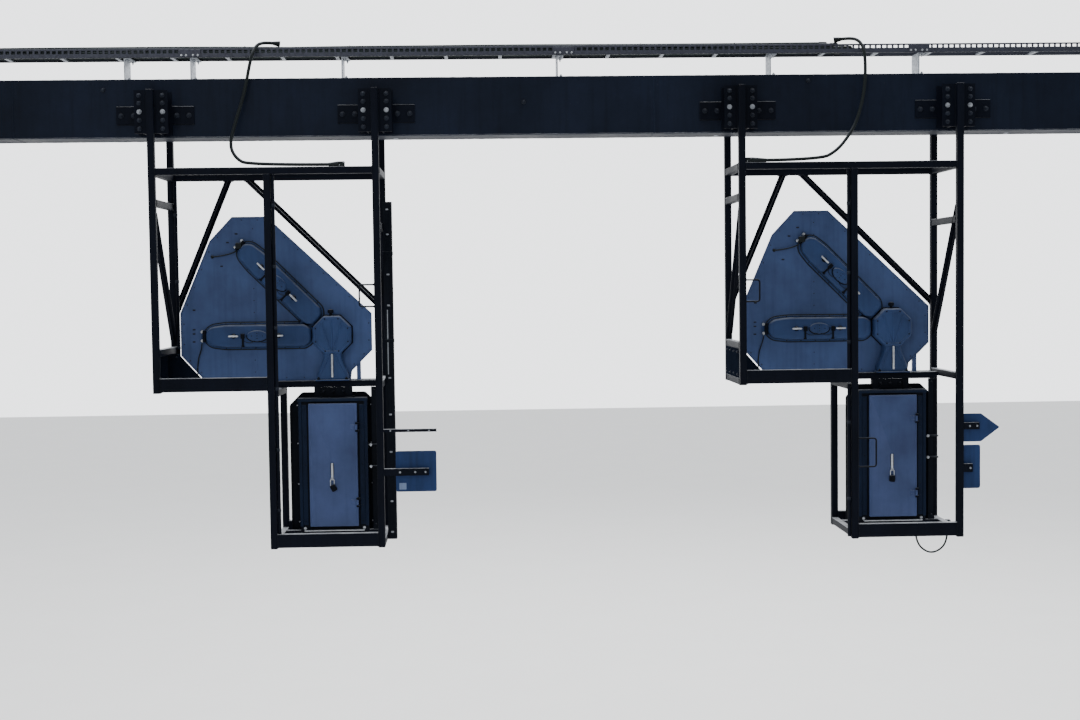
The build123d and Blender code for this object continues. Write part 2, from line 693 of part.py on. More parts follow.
def head_hoods():
    """Long hoods over the three aspects."""
    front = HEAD_FRONT + BACKBOARD_THICKNESS
    aspect = (ASPECT_RADIUS, ASPECT_SIDES, ASPECT_HOOD_LENGTH, front)
    return [visor(x, z, *aspect) for x, z in aspect_places()]


def barrel(radius, bottom, height):
    """Upright cylinder on the hinge axis."""
    return Pos(HINGE_X, HINGE_Y, bottom) * extrude(Circle(radius), height)


def head_door():
    """Folded door pan with two hinge barrels on its right edge."""
    x, z = centred(HEAD_X, DOOR_WIDTH), (DOOR_BOTTOM, DOOR_TOP)
    y = (DOOR_BACK, DOOR_BACK + DOOR_THICKNESS)
    door = block(x, y, z)
    inner_x = (x[0] + DOOR_GAUGE, x[1] - DOOR_GAUGE)
    inner_z = (z[0] + DOOR_GAUGE, z[1] - DOOR_GAUGE)
    door -= block(inner_x, (y[0] + DOOR_GAUGE, y[1]), inner_z)
    for middle in HINGE_PLACES:
        bottom = middle - HINGE_BARREL_HEIGHT / 2
        leaf_z = (bottom, bottom + HINGE_BARREL_HEIGHT)
        door += block((x[1] - HINGE_LEAF, HINGE_X), (DOOR_BACK - DOOR_GAUGE, DOOR_BACK), leaf_z)
        knuckle = many_sided(HINGE_BARREL_RADIUS, HINGE_KNUCKLE_SIDES)
        door += Pos(HINGE_X, HINGE_Y, bottom) * extrude(knuckle, HINGE_BARREL_HEIGHT)
        bore = HINGE_PIN_RADIUS + HINGE_RUNNING_GAP
        door -= barrel(bore, bottom, HINGE_BARREL_HEIGHT)
    return door


def door_hinge(middle):
    """Fixed half of a hinge: a pin between two cranked lugs, on a plate against the case."""
    reach = HINGE_BARREL_HEIGHT / 2 + HINGE_END_GAP
    bottom = middle - reach - HINGE_LUG_HEIGHT
    height = 2 * (reach + HINGE_LUG_HEIGHT)
    hinge = barrel(HINGE_PIN_RADIUS, middle - reach, 2 * reach)
    plate_x = HEAD_X + DOOR_WIDTH / 2 + DOOR_SIDE_GAP
    crank = (plate_x, plate_x + HINGE_LUG_RADIUS)
    plate_y = (HEAD_BACK - DOOR_GAUGE, HEAD_BACK)
    hinge += block((plate_x, plate_x + HINGE_LEAF), plate_y, (bottom, bottom + height))
    for low in (bottom, middle + reach):
        z = (low, low + HINGE_LUG_HEIGHT)
        lug = many_sided(HINGE_LUG_RADIUS, HINGE_KNUCKLE_SIDES)
        hinge += Pos(HINGE_X, HINGE_Y, low) * extrude(lug, HINGE_LUG_HEIGHT)
        hinge += block((HINGE_X, crank[1]), centred(HINGE_Y, 2 * HINGE_LUG_RADIUS), z)
        hinge += block(crank, (HINGE_Y - HINGE_LUG_RADIUS, HEAD_BACK), z)
    return hinge


def door_hasp():
    """Swing bolt on the door with the padlock that hangs from it."""
    strap = cut_corners(HASP_WIDTH, HASP_TOP - HASP_BOTTOM, HASP_CHAMFER)
    strap_place = Pos(HASP_X, (HASP_TOP + HASP_BOTTOM) / 2)
    hasp = upright(strap_place * strap, DOOR_BACK - HASP_THICKNESS, DOOR_BACK)
    lock_back = DOOR_BACK - PADLOCK_GAP
    lock_top = HASP_BOTTOM - SHACKLE_HEIGHT + SHACKLE_OVERLAP
    body = cut_corners(PADLOCK_WIDTH, PADLOCK_HEIGHT, PADLOCK_CHAMFER)
    body = Pos(HASP_X, lock_top - PADLOCK_HEIGHT / 2) * body
    hasp += upright(body, lock_back - PADLOCK_DEPTH, lock_back)
    leg = PADLOCK_WIDTH / 2 - SHACKLE_INSET
    foot, crown = lock_top - SHACKLE_RADIUS, lock_top + SHACKLE_HEIGHT
    bow = cornered([(-leg, foot), (-leg, crown), (leg, crown), (leg, foot)], leg * 0.6)
    path = Plane.XZ.offset(HASP_THICKNESS + PADLOCK_GAP - DOOR_BACK) * Pos(HASP_X) * bow
    return hasp + bent_rod(path, SHACKLE_RADIUS, SHACKLE_SIDES)


def sign_channel(reach, bottom, top):
    """Channel that carries a sign, out from the near right-hand post."""
    back = SIGN_CHANNEL_INSET - CAGE_HALF_DEPTH
    x, y = (CAGE_HALF_WIDTH, CAGE_HALF_WIDTH + reach), (back, back + SIGN_CHANNEL_DEPTH)
    groove_z = (bottom + SIGN_GAUGE, top - SIGN_GAUGE)
    return block(x, y, (bottom, top)) - block(x, (back + SIGN_GAUGE, y[1]), groove_z)


def sign_face_y():
    """Limits along Y of the sign plates, on the front of their channels."""
    back = SIGN_CHANNEL_INSET - CAGE_HALF_DEPTH + SIGN_CHANNEL_DEPTH
    return back, back + SIGN_GAUGE


def sign_plates():
    """A square plate by the left cage, an arrow and a plate by the right one."""
    left_face, right_face = (Pos(x + CAGE_HALF_WIDTH) for x in CAGES.values())
    start, shoulder, tip, bottom, top = RIGHT_ARROW
    tail = [(start, bottom), (shoulder, bottom), (tip, (bottom + top) / 2), (shoulder, top), (start, top)]
    arrow = upright(Polygon(*tail, align=None), *sign_face_y())
    left, right = corner_cut_plate(*LEFT_PLATE), corner_cut_plate(*RIGHT_PLATE)
    return [left_face * left, right_face * right, right_face * arrow]


def corner_cut_plate(x0, x1, z0, z1):
    """Flat sign plate with cut corners."""
    outline = cut_corners(x1 - x0, z1 - z0, SIGN_CORNER)
    return upright(Pos((x0 + x1) / 2, (z0 + z1) / 2) * outline, *sign_face_y())


def sign_channels():
    """Channels behind the signs, and the bare bar above the left one."""
    left = [sign_channel(*LEFT_CHANNEL), sign_channel(*LEFT_BAR)]
    right = [sign_channel(*RIGHT_ARROW_CHANNEL), sign_channel(*RIGHT_PLATE_CHANNEL)]
    return [Pos(-CAGE_OFFSET) * piece for piece in left] + [Pos(CAGE_OFFSET) * piece for piece in right]


def cornered(points, cut):
    """Line through points with each inner corner cut off, so that a rod can bend round it."""
    corners = [Vector(*point) for point in points]
    bent = [corners[0]]
    for before, corner, after in zip(corners, corners[1:], corners[2:]):
        bent.append(corner + (before - corner).normalized() * cut)
        bent.append(corner + (after - corner).normalized() * cut)
    return Polyline(*bent, corners[-1])


def bent_rod(path, radius, sides):
    """Rod along a line of straight runs, mitred where they meet."""
    section = Plane(path @ 0, z_dir=path % 0) * many_sided(radius, sides)
    return sweep(section, path, transition=Transition.RIGHT)


def grab_loop(face, reach, bottom, top):
    """Bent rod that stands out sideways from a post's face."""
    ends = [(face, bottom), (face + reach, bottom), (face + reach, top), (face, top)]
    path = Plane.XZ.offset(CAGE_HALF_DEPTH - SECTION / 2) * cornered(ends, LOOP_CORNER)
    return bent_rod(path, LOOP_ROD_RADIUS, LOOP_ROD_SIDES)


def grab_loops():
    """Hand holds on the near posts."""
    middle_face = MIDDLE_POST_X + SECTION / 2
    left = grab_loop(INNER_X, -LEFT_LOOP_REACH, LOOP_BOTTOM, LOOP_TOP)
    upper = grab_loop(-INNER_X, RIGHT_LOOP_REACH, LOOP_BOTTOM, LOOP_TOP)
    lower = grab_loop(middle_face, LOW_LOOP_REACH, LOW_LOOP_BOTTOM, LOW_LOOP_TOP)
    return [Pos(-CAGE_OFFSET) * left, Pos(CAGE_OFFSET) * upper, Pos(CAGE_OFFSET) * lower]


def cable_duct():
    """Upright trunking clipped to the outside of the left cage's right side."""
    x = (CAGE_HALF_WIDTH - CAGE_OFFSET, CAGE_HALF_WIDTH - CAGE_OFFSET + DUCT_X)
    return hollow(x, centred(0, DUCT_Y), (BOTTOM_RAIL_BOTTOM, DUCT_TOP), "z", DUCT_WALL)


def cable(name, points, diameter):
    """Loose cable: straight runs joined by tangent arcs as large as the runs allow."""
    corners = [Vector(*point) for point in points]
    runs = [b - a for a, b in zip(corners, corners[1:])]
    radii = []
    for before, after in zip(runs, runs[1:]):
        half_turn = math.radians(before.get_angle(after)) / 2
        radii.append(0.45 * min(before.length, after.length) / math.tan(half_turn))
    path = FilletPolyline(*corners, radius=radii)
    section = many_sided(diameter / 2, LOOSE_CABLE_SIDES)
    tube = sweep(Plane(path @ 0, z_dir=path % 0) * section, path)
    print(name, "length", round(path.length), "radii", [round(radius) for radius in radii])
    print(name, "volume over section times length", round(tube.volume / (section.area * path.length), 4))
    return tube


def cable_glands():
    """Glands where the drop cables and the slack loop enter the cages."""
    rail_z = (TOP_RAIL_TOP, TOP_RAIL_TOP + GLAND_SIZE)
    rail_y = centred(-CAGE_HALF_DEPTH + SECTION / 2, GLAND_SIZE)
    left_x = LEFT_DROP_POINTS[-1][0]
    right_x = RIGHT_DROP_POINTS[-1][0]
    end = SLACK_POINTS[-1]
    slack_x = (CAGE_OFFSET + CAGE_HALF_WIDTH, CAGE_OFFSET + CAGE_HALF_WIDTH + GLAND_SIZE)
    return [
        block((left_x, left_x + GLAND_LENGTH), rail_y, rail_z),
        block((right_x - GLAND_LENGTH, right_x), rail_y, rail_z),
        block(slack_x, centred(end[1], GLAND_SIZE), (end[2], end[2] + SECTION)),
    ]


def save(name, solids):
    """Write one node's solids to its file."""
    solids = solids if isinstance(solids, list) else [solids]
    pieces = [piece for solid in solids for piece in solid.solids()]
    export_step(pieces[0] if len(pieces) == 1 else Compound(pieces), f"parts/{name}.step")


def in_cages(solids):
    """Copies of one cage's solids in both cages."""
    return [Pos(x, 0, 0) * solid for x in CAGES.values() for solid in solids]


def save_cages():
    """Write the nodes that each cage has for itself, and then those that both share."""
    own = {
        "cage_posts": posts(), "cage_rails": cage_rails(), "cage_ties": cage_ties(),
        "indicator_board": [indicator_board()],
        "indicator_arms": [indicator_arm(angle) for angle in ARM_ANGLES],
        "indicator_pivot": [indicator_pivot()], "head_housing": [head_housing()],
        "head_hoods": head_hoods(), "head_door": [head_door()], "door_hasp": [door_hasp()],
    }
    for side, x in CAGES.items():
        for name, solids in own.items():
            save(f"{side}_{name}", [Pos(x, 0, 0) * solid for solid in solids])
    save("cage_braces", in_cages(cage_braces()))
    save("hanger_brackets", in_cages(hanger_brackets()))
    save("indicator_hoods", in_cages(indicator_hoods()))
    save("signal_lenses", in_cages(signal_lenses()))
    save("lamp_units", in_cages(lamp_units()))
    save("head_backboards", in_cages([backboard()]))
    save("door_hinges", in_cages([door_hinge(middle) for middle in HINGE_PLACES]))


def main():
    """Write every node."""
    os.makedirs("parts", exist_ok=True)
    half_span = COLUMN_SPAN / 2
    for side, x in (("left", -half_span), ("right", half_span)):
        save(f"{side}_column_tube", column_tube(x))
        save(f"{side}_base_plate", base_plate(x))
    save("column_cap_plates", seat_plates(BOOM_BOTTOM - 2 * SEAT_PLATE_THICKNESS))
    save("boom_seat_plates", seat_plates(BOOM_BOTTOM - SEAT_PLATE_THICKNESS))
    save("boom_beam", boom_beam())
    save("boom_end_plates", boom_end_plates())
    save("tray_side_rails", tray_side_rails())
    save("tray_rungs", tray_rungs())
    save("tray_stub_posts", [tray_stub(x) for x in stub_places()])
    save("tray_cables", tray_cables())
    save("cable_riser", cable_riser())
    save_cages()
    save("sign_plates", sign_plates())
    save("sign_channels", sign_channels())
    save("grab_loops", grab_loops())
    save("left_cable_duct", cable_duct())
    save("cable_glands", cable_glands())
    save("left_drop_cable", cable("left drop", LEFT_DROP_POINTS, DROP_DIAMETER))
    save("right_drop_cable", cable("right drop", RIGHT_DROP_POINTS, DROP_DIAMETER))
    slack = [(x + CAGE_OFFSET, y, z) for x, y, z in SLACK_POINTS]
    save("right_slack_cable", cable("slack", slack, SLACK_DIAMETER))


main()
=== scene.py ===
import math
import random
from itertools import product

import bmesh
import bpy
from mathutils import Matrix, Vector


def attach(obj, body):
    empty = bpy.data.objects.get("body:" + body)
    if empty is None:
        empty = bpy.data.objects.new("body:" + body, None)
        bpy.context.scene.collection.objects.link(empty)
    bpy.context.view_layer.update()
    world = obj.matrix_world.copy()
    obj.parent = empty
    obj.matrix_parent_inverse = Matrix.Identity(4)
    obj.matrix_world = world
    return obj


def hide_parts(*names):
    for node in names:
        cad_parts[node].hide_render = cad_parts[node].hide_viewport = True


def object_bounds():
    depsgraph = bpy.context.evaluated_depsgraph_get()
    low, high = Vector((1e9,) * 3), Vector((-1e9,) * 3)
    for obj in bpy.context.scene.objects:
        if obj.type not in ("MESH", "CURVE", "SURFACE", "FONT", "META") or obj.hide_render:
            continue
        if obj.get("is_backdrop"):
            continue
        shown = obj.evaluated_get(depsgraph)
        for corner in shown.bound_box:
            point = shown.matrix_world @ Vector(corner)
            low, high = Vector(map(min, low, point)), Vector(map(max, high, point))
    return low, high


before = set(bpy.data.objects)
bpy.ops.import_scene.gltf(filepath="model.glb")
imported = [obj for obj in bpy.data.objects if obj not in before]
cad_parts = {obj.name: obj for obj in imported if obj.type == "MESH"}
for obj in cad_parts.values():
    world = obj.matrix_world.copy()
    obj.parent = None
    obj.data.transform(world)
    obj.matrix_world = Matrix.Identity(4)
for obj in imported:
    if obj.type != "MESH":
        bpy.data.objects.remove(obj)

CAD_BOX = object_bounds()
random.seed(11)

# Camera, measured on the photograph: angles in degrees, lengths in metres and millimetres
CAMERA_PLACE = (-0.534, -11.22, 5.84)
CAMERA_YAW = 1.974
CAMERA_PITCH_DOWN = 2.811
CAMERA_ROLL = 0.721
FOCAL_LENGTH = 50
SENSOR_WIDTH = 36

# Sizes in metres and angles in degrees; a place is in the frame of the solids, or from the middle of its
# cage, pivot or signal head
CAGES = {"left": -2.127, "right": 2.127}
COLUMNS = {"left": -7.0, "right": 7.0}
CAGE_SIDE = 0.825
POST_REACH = 0.8
POST_DEPTH = 0.325
HANGERS = {(side, reach): x + reach for side, x in CAGES.items() for reach in (-POST_REACH, POST_REACH)}
BRACE_ENDS = (Vector((-0.2985, 6.398)), Vector((0.2985, 5.467)))
CORNER_RADIUS = 0.006
BOARD_BACK = 0.175
PIVOT = (0.42, 5.495)
ARM_ANGLES = (180, 135)
BOSS = 0.56
LAMP_PITCH = 0.215
HEAD_X = 0.416
HEAD_FRONT = 0.209
ASPECTS = {"red": 4.195, "yellow": 4.515, "green": 4.835}
DOOR_BACK = 0.074
DOOR_WIDTH = 0.364
DOOR_LEVELS = (4.05, 4.98)
HINGE = (0.176, 0.065)
HINGE_LEVELS = (4.23, 4.8)
LOCK_TILT = {"left": 28, "right": -4}
SIGN_BACK = -0.307
# Half the boom's length and depth, its bottom and its top; the tray's two ends, its bottom and its top
BOOM = (7.25, 0.15, 6.955, 7.375)
TRAY = (-6.84, 7.0, 7.54, 7.605)
TRAY_HALF_WIDTH = 0.1

# Loose cables: sizes, and routes as control points of smooth splines
DROP_DIAMETER = 0.024
SLACK_DIAMETER = 0.014
LEFT_DROP_LENGTH = 1.83
RIGHT_DROP_LENGTH = 1.76
SLACK_LENGTH = 0.58
LEFT_DROP = (
    (-2.035, -0.02, 7.644), (-2.128, -0.046, 7.656), (-2.198, -0.12, 7.624), (-2.228, -0.19, 7.505),
    (-2.272, -0.196, 7.27), (-2.348, -0.212, 7.035), (-2.378, -0.262, 6.885), (-2.331, -0.302, 6.789),
    (-2.237, -0.325, 6.735), (-1.592, -0.325, 6.735),
)
RIGHT_DROP = (
    (2.072, -0.02, 7.644), (2.182, -0.046, 7.661), (2.252, -0.128, 7.62), (2.268, -0.192, 7.495),
    (2.262, -0.197, 7.26), (2.205, -0.212, 7.04), (2.13, -0.25, 6.915), (2.03, -0.295, 6.802),
    (1.9, -0.325, 6.735), (1.4, -0.325, 6.735),
)
SLACK = (
    (2.722, 0.117, 4.015), (2.722, 0.116, 3.905), (2.753, 0.11, 3.805), (2.842, 0.105, 3.752),
    (2.933, 0.101, 3.795), (2.969, 0.1, 3.88), (2.969, 0.099, 3.965),
)


def linked(data):
    """A new object in the scene, named after its data."""
    item = bpy.data.objects.new(data.name, data)
    bpy.context.scene.collection.objects.link(item)
    return item


def aim_camera():
    """Camera at the photograph's viewing angle."""
    camera = linked(bpy.data.cameras.new("photo_camera"))
    camera.data.lens = FOCAL_LENGTH
    camera.data.sensor_width = SENSOR_WIDTH
    camera.data.clip_end = 500
    camera.matrix_world = at(*CAMERA_PLACE)
    for angle, axis in ((-CAMERA_YAW, "Z"), (90 - CAMERA_PITCH_DOWN, "X"), (-CAMERA_ROLL, "Z")):
        camera.matrix_world @= turning(angle, axis)
    bpy.context.scene.camera = camera


# Materials

class Nodes:
    """Short calls for building the nodes of one material or world."""

    def __init__(self, owner, last="Principled BSDF"):
        owner.use_nodes = True
        self.tree = owner.node_tree
        self.last = self.tree.nodes[last]
        self.place = self.add("TexCoord")

    def feed(self, node, values):
        """Set or link inputs, each given by its label or number."""
        for key, value in values.items():
            if isinstance(value, bpy.types.NodeSocket):
                self.tree.links.new(value, node.inputs[key])
            else:
                node.inputs[key].default_value = value

    def add(self, kind, values=None, **settings):
        """Outputs of a new node."""
        node = self.tree.nodes.new(f"ShaderNode{kind}")
        for name, value in settings.items():
            setattr(node, name, value)
        self.feed(node, values or {})
        return node.outputs

    def noise(self, scale, detail, stretch=None):
        place = self.place["Object"]
        if stretch:
            place = self.add("Mapping", {"Vector": place, "Scale": stretch})["Vector"]
        values = {"Vector": place, "Scale": scale, "Detail": detail, "Roughness": 0.6}
        return self.add("TexNoise", values)["Fac"]

    def ramp(self, value, low, high, start=0.0, end=1.0, **settings):
        spans = {"Value": value, "From Min": low, "From Max": high, "To Min": start, "To Max": end}
        return self.add("MapRange", spans, clamp=True, **settings)["Result"]

    def math(self, operation, a, b):
        return self.add("Math", {0: a, 1: b}, operation=operation)["Value"]

    def plus(self, a, b, share=1.0):
        """One value plus a share of another."""
        return self.math("ADD", a, self.math("MULTIPLY", b, share) if share != 1.0 else b)

    def mix(self, factor, a, b):
        return self.add("Mix", {"Factor": factor, 6: a, 7: b}, data_type="RGBA")[2]

    def upward(self):
        """How much the surface faces up, from 0 to 1."""
        normal = self.add("NewGeometry")["Normal"]
        return self.ramp(self.add("SeparateXYZ", {0: normal})["Z"], 0.35, 0.95)

    def bump(self, height, strength, distance):
        values = {"Height": height, "Strength": strength, "Distance": distance}
        self.feed(self.last, {"Normal": self.add("Bump", values)["Normal"]})


def linear(colour, gain=1.0, lift=0.0):
    """Scene colour of an eight-bit colour as seen on screen, after a gain and a lift."""
    shares = [(value * gain + lift) / 255 for value in colour]
    return (*(s / 12.92 if s <= 0.04045 else ((s + 0.055) / 1.055) ** 2.4 for s in shares), 1)


def painted(material, colour, worn, dust_and_top_light, streaks=0.4, roughness=0.5, specular=0.3):
    """Weathered paint: cloudy fading, dirt that runs down, chips, and a pale dusty coat on what faces up that
    also paints the light falling on tops.
    """
    n = Nodes(material)
    cloud, grain, fine = n.noise(1.7, 5), n.noise(90.0, 5), n.noise(420.0, 3)
    runs = n.noise(6.0, 6, (5.0, 5.0, 0.35))
    base = n.mix(n.ramp(cloud, 0.3, 0.7), linear(colour), linear(colour, 1.35, 3))
    base = n.mix(n.ramp(runs, 0.48, 0.78, 0, streaks), base, linear(colour, 0.55))
    base = n.mix(n.ramp(n.plus(grain, cloud, 0.35), 0.89, 0.93, 0, 0.7), base, linear(worn))
    patches = n.plus(n.noise(9.0, 5), grain, 0.3)
    # Dust on what faces up, pale enough to be painted top light as well as dust
    dust_and_lit_tops = n.math("MULTIPLY", n.upward(), n.ramp(patches, 0.45, 0.8, 0.35, 0.85))
    n.feed(n.last, {
        "Base Color": n.mix(dust_and_lit_tops, base, linear(dust_and_top_light)),
        "Roughness": n.ramp(n.plus(cloud, fine), 0.7, 1.3, roughness - 0.1, roughness + 0.15),
        "Specular IOR Level": specular,
    })
    n.bump(n.plus(n.math("MULTIPLY", grain, 0.6), fine, 0.25), 0.25, 0.002)


def zinced(material, light, dark, dust_and_top_light, metallic=0.7):
    """Zinc coating: pale spangle, white bloom and dull runs."""
    n = Nodes(material)
    cells = n.add("TexVoronoi", {"Vector": n.place["Object"], "Scale": 70.0}, feature="F1")
    split = n.add("SeparateColor", {0: cells["Color"]})
    cloud, fine = n.noise(3.0, 5), n.noise(300.0, 3)
    runs = n.noise(9.0, 6, (4.0, 4.0, 0.4))
    base = n.mix(n.ramp(split[0], 0, 1.0, 0.15, 0.65), linear(dark), linear(light))
    base = n.mix(n.ramp(cloud, 0.45, 0.75, 0, 0.5), base, linear(light, 0.75))
    base = n.mix(n.ramp(runs, 0.55, 0.8, 0, 0.45), base, linear(dark, 0.6))
    n.feed(n.last, {
        # Tops take the dust colour, which also paints the light falling on them
        "Base Color": n.mix(n.math("MULTIPLY", n.upward(), 0.6), base, linear(dust_and_top_light)),
        "Metallic": metallic,
        "Roughness": n.ramp(n.plus(cloud, split[1]), 0.3, 1.4, 0.38, 0.62),
    })
    n.bump(n.plus(fine, split[0], 0.2), 0.12, 0.001)


# Each coat: colour, worn colour, dust colour on what faces up, which also paints the light on tops, and what
# differs from the usual
# Pale colour for tops that are lit and darker colour for tops in shade: dust and painted top light together
LIT_TOP_AND_DUST = (176, 179, 184)
SHADED_TOP_AND_DUST = (96, 100, 108)
GLASSY = {"roughness": 0.2, "specular": 0.5}
PAINTS = {
    "structure_paint": ((13, 18, 29), (46, 48, 54), LIT_TOP_AND_DUST, {"specular": 0.07}),
    "cage_paint": ((7, 10, 18), (34, 36, 42), LIT_TOP_AND_DUST, {"specular": 0.05}),
    "cable_sheath": ((18, 22, 23), (50, 52, 50), SHADED_TOP_AND_DUST, {"specular": 0.1}),
    "signal_grey": ((46, 59, 89), (78, 83, 100), (150, 156, 168), {"streaks": 0.25, "specular": 0.12}),
    "signal_black": ((9, 12, 18), (34, 36, 42), SHADED_TOP_AND_DUST, {"specular": 0.05}),
    "lens_glass": ((60, 66, 70), (80, 86, 90), (120, 124, 128), GLASSY),
    "lamp_casting": ((46, 50, 56), (78, 80, 84), SHADED_TOP_AND_DUST, {}),
    "sign_back": ((25, 40, 71), (62, 76, 102), (140, 146, 156), {"specular": 0.1}),
    "signal_blue": ((33, 47, 76), (70, 78, 98), (140, 147, 160), {"streaks": 0.25, "specular": 0.12}),
    "door_paint": ((49, 60, 90), (80, 86, 104), (150, 156, 168), {"streaks": 0.18, "specular": 0.12}),
    "head_edges": ((14, 22, 37), (42, 50, 62), SHADED_TOP_AND_DUST, {"specular": 0.06}),
    # Darker copy of the cage paint without sheen: painted shade for the corner sheets
    "painted_shade_sheet": ((12, 16, 24), (30, 32, 38), SHADED_TOP_AND_DUST, {"specular": 0.0}),
    "weld": ((12, 15, 21), (58, 44, 34), LIT_TOP_AND_DUST, {"specular": 0.06}),
    "weld_dark": ((17, 23, 35), (62, 48, 38), LIT_TOP_AND_DUST, {"specular": 0.08}),
    "old_bolts": ((22, 26, 34), (86, 62, 46), SHADED_TOP_AND_DUST, {"specular": 0.1}),
    "pile_cables": ((24, 32, 32), (56, 60, 56), SHADED_TOP_AND_DUST, {"specular": 0.1}),
    "bare_face": ((150, 156, 166), (110, 112, 116), (190, 192, 196), {}),
    "pale_patch": ((84, 98, 124), (70, 80, 100), (190, 192, 196), {}),
    "lens_red": ((96, 16, 18), (60, 14, 14), (120, 60, 58), GLASSY),
    "lens_yellow": ((128, 92, 18), (80, 60, 20), (130, 116, 80), GLASSY),
    "lens_green": ((14, 84, 62), (14, 56, 44), (70, 116, 100), GLASSY),
}
ZINC = {
    "galvanised": ((168, 172, 178), (120, 125, 133), LIT_TOP_AND_DUST, {}),
    "bright_steel": ((205, 208, 212), (160, 164, 170), LIT_TOP_AND_DUST, {"metallic": 0.9}),
    # Galvanising darkened to paint the shade that the tray's side rails are in
    "shaded_tray_zinc": ((48, 52, 68), (26, 29, 42), (150, 154, 160), {"metallic": 0.15}),
}
MATERIALS = {}
for coat, table in ((painted, PAINTS), (zinced, ZINC)):
    for name, (*colours, options) in table.items():
        MATERIALS[name] = bpy.data.materials.new(name)
        coat(MATERIALS[name], *colours, **options)

# Slots of the materials that aren't a slot of the record, and the angles from which edges stay sharp
SLOTS = {
    "signal_blue": "signal_grey", "door_paint": "signal_grey", "head_edges": "signal_black",
    "painted_shade_sheet": "cage_paint", "weld": "cage_paint", "weld_dark": "structure_paint",
    "shaded_tray_zinc": "galvanised", "pile_cables": "cable_sheath", "bare_face": "sign_back",
    "pale_patch": "sign_back", "lens_red": "lens_glass", "lens_yellow": "lens_glass",
    "lens_green": "lens_glass",
}
SHARP_ANGLE = 32
SHARP_ANGLES = {"weld": 60, "weld_dark": 60, "lens_glass": 50, **{f"lens_{c}": 50 for c in ASPECTS}}


# Places and outlines

# Sideways, upwards and outwards on a surface that faces one way
AXES = {
    "near": ((1, 0, 0), (0, 0, 1), (0, -1, 0)), "far": ((-1, 0, 0), (0, 0, 1), (0, 1, 0)),
    "right": ((0, 1, 0), (0, 0, 1), (1, 0, 0)), "left": ((0, -1, 0), (0, 0, 1), (-1, 0, 0)),
    "up": ((1, 0, 0), (0, 1, 0), (0, 0, 1)), "down": ((1, 0, 0), (0, -1, 0), (0, 0, -1)),
}


def at(x, y, z):
    return Matrix.Translation((x, y, z))


def turning(angle, axis="Z"):
    """Turn about an axis, in degrees."""
    return Matrix.Rotation(math.radians(angle), 4, axis)


def facing(way, x, y, z, turn=0.0):
    """Place on a surface that faces one way, with local Z pointing out of it."""
    axes = Matrix(AXES[way]).transposed().to_4x4()
    return at(x, y, z) @ axes @ turning(turn)


def shifted(place, x=0.0, y=0.0, z=0.0):
    """A place moved along its own directions."""
    return place @ at(x, y, z)


def spread(*axes):
    """Every combination of places, where each axis is one number or several."""
    return product(*[axis if isinstance(axis, (tuple, list)) else (axis,) for axis in axes])


def each_of(middles, x=0.0, z=0.0):
    """Names of several middles; shapes are measured from each middle while it has its turn."""
    for name, middle in middles.items():
        Shape.origin = Vector((middle + x, 0, z))
        yield name
    Shape.origin = Vector()


def sides_of(outline):
    return zip(outline, outline[1:] + outline[:1])


def anticlockwise(outline):
    area = sum(a[0] * b[1] - b[0] * a[1] for a, b in sides_of(outline))
    return outline if area > 0 else outline[::-1]


def inset(outline, distance):
    """An anticlockwise outline moved inwards."""
    points = [Vector(p) for p in outline]
    moved = []
    for before, here, after in zip(points[-1:] + points[:-1], points, points[1:] + points[:1]):
        a, b = (here - before).normalized(), (after - here).normalized()
        first, second = Vector((-a.y, a.x)), Vector((-b.y, b.x))
        moved.append(here + (first + second) * (distance / max(0.3, 1 + first.dot(second))))
    return moved


def softened(points, cut, steps=4, closed=True):
    """Line through points with every corner turned into a short curve."""
    points = [Vector(p) for p in points]
    count = len(points)
    out = []
    for index, here in enumerate(points):
        if not closed and index in (0, count - 1):
            out.append(here)
            continue
        before, after = points[index - 1], points[(index + 1) % count]
        a = here + (before - here).normalized() * min(cut, (before - here).length * 0.49)
        b = here + (after - here).normalized() * min(cut, (after - here).length * 0.49)
        for step in range(steps + 1):
            t = step / steps
            out.append(a * (1 - t) ** 2 + here * (2 * t * (1 - t)) + b * t ** 2)
    return out


def corners(x, low, high):
    """Anticlockwise corners between -x and x and between two heights."""
    return [(-x, low), (x, low), (x, high), (-x, high)]


def rectangle(width, height, radius, steps=4):
    """Anticlockwise rectangle with round corners."""
    return softened(corners(width / 2, -height / 2, height / 2), radius, steps)


def upright_ring(half, y, levels, cut, steps):
    """Round-cornered ring in an upright plane."""
    return softened([(x, y, z) for x, z in corners(half, *levels)], cut, steps)


def circle(radius, sides, turn=0.0):
    angles = [math.tau * i / sides + turn for i in range(sides)]
    return [Vector((radius * math.cos(angle), radius * math.sin(angle))) for angle in angles]


def octagon(half):
    """Eight-sided outline, given by half its width across flats."""
    return circle(half / math.cos(math.pi / 8), 8, math.pi / 8)


def oval(middle, length, width, sides=28):
    """Anticlockwise oval along an arm."""
    return [Vector((middle + length / 2 * p.x, width / 2 * p.y)) for p in circle(1, sides)]


def frames_along(points, closed):
    """Two cross directions at each point of a line, turned as little as possible."""
    frames = []
    previous = None
    for index, here in enumerate(points):
        before = points[index - 1] if index or closed else here
        after = points[(index + 1) % len(points)] if index < len(points) - 1 or closed else here
        ahead = (after - before).normalized()
        side = ahead.orthogonal() if previous is None else previous - ahead * previous.dot(ahead)
        previous = side.normalized()
        frames.append((here, previous, ahead.cross(previous)))
    return frames


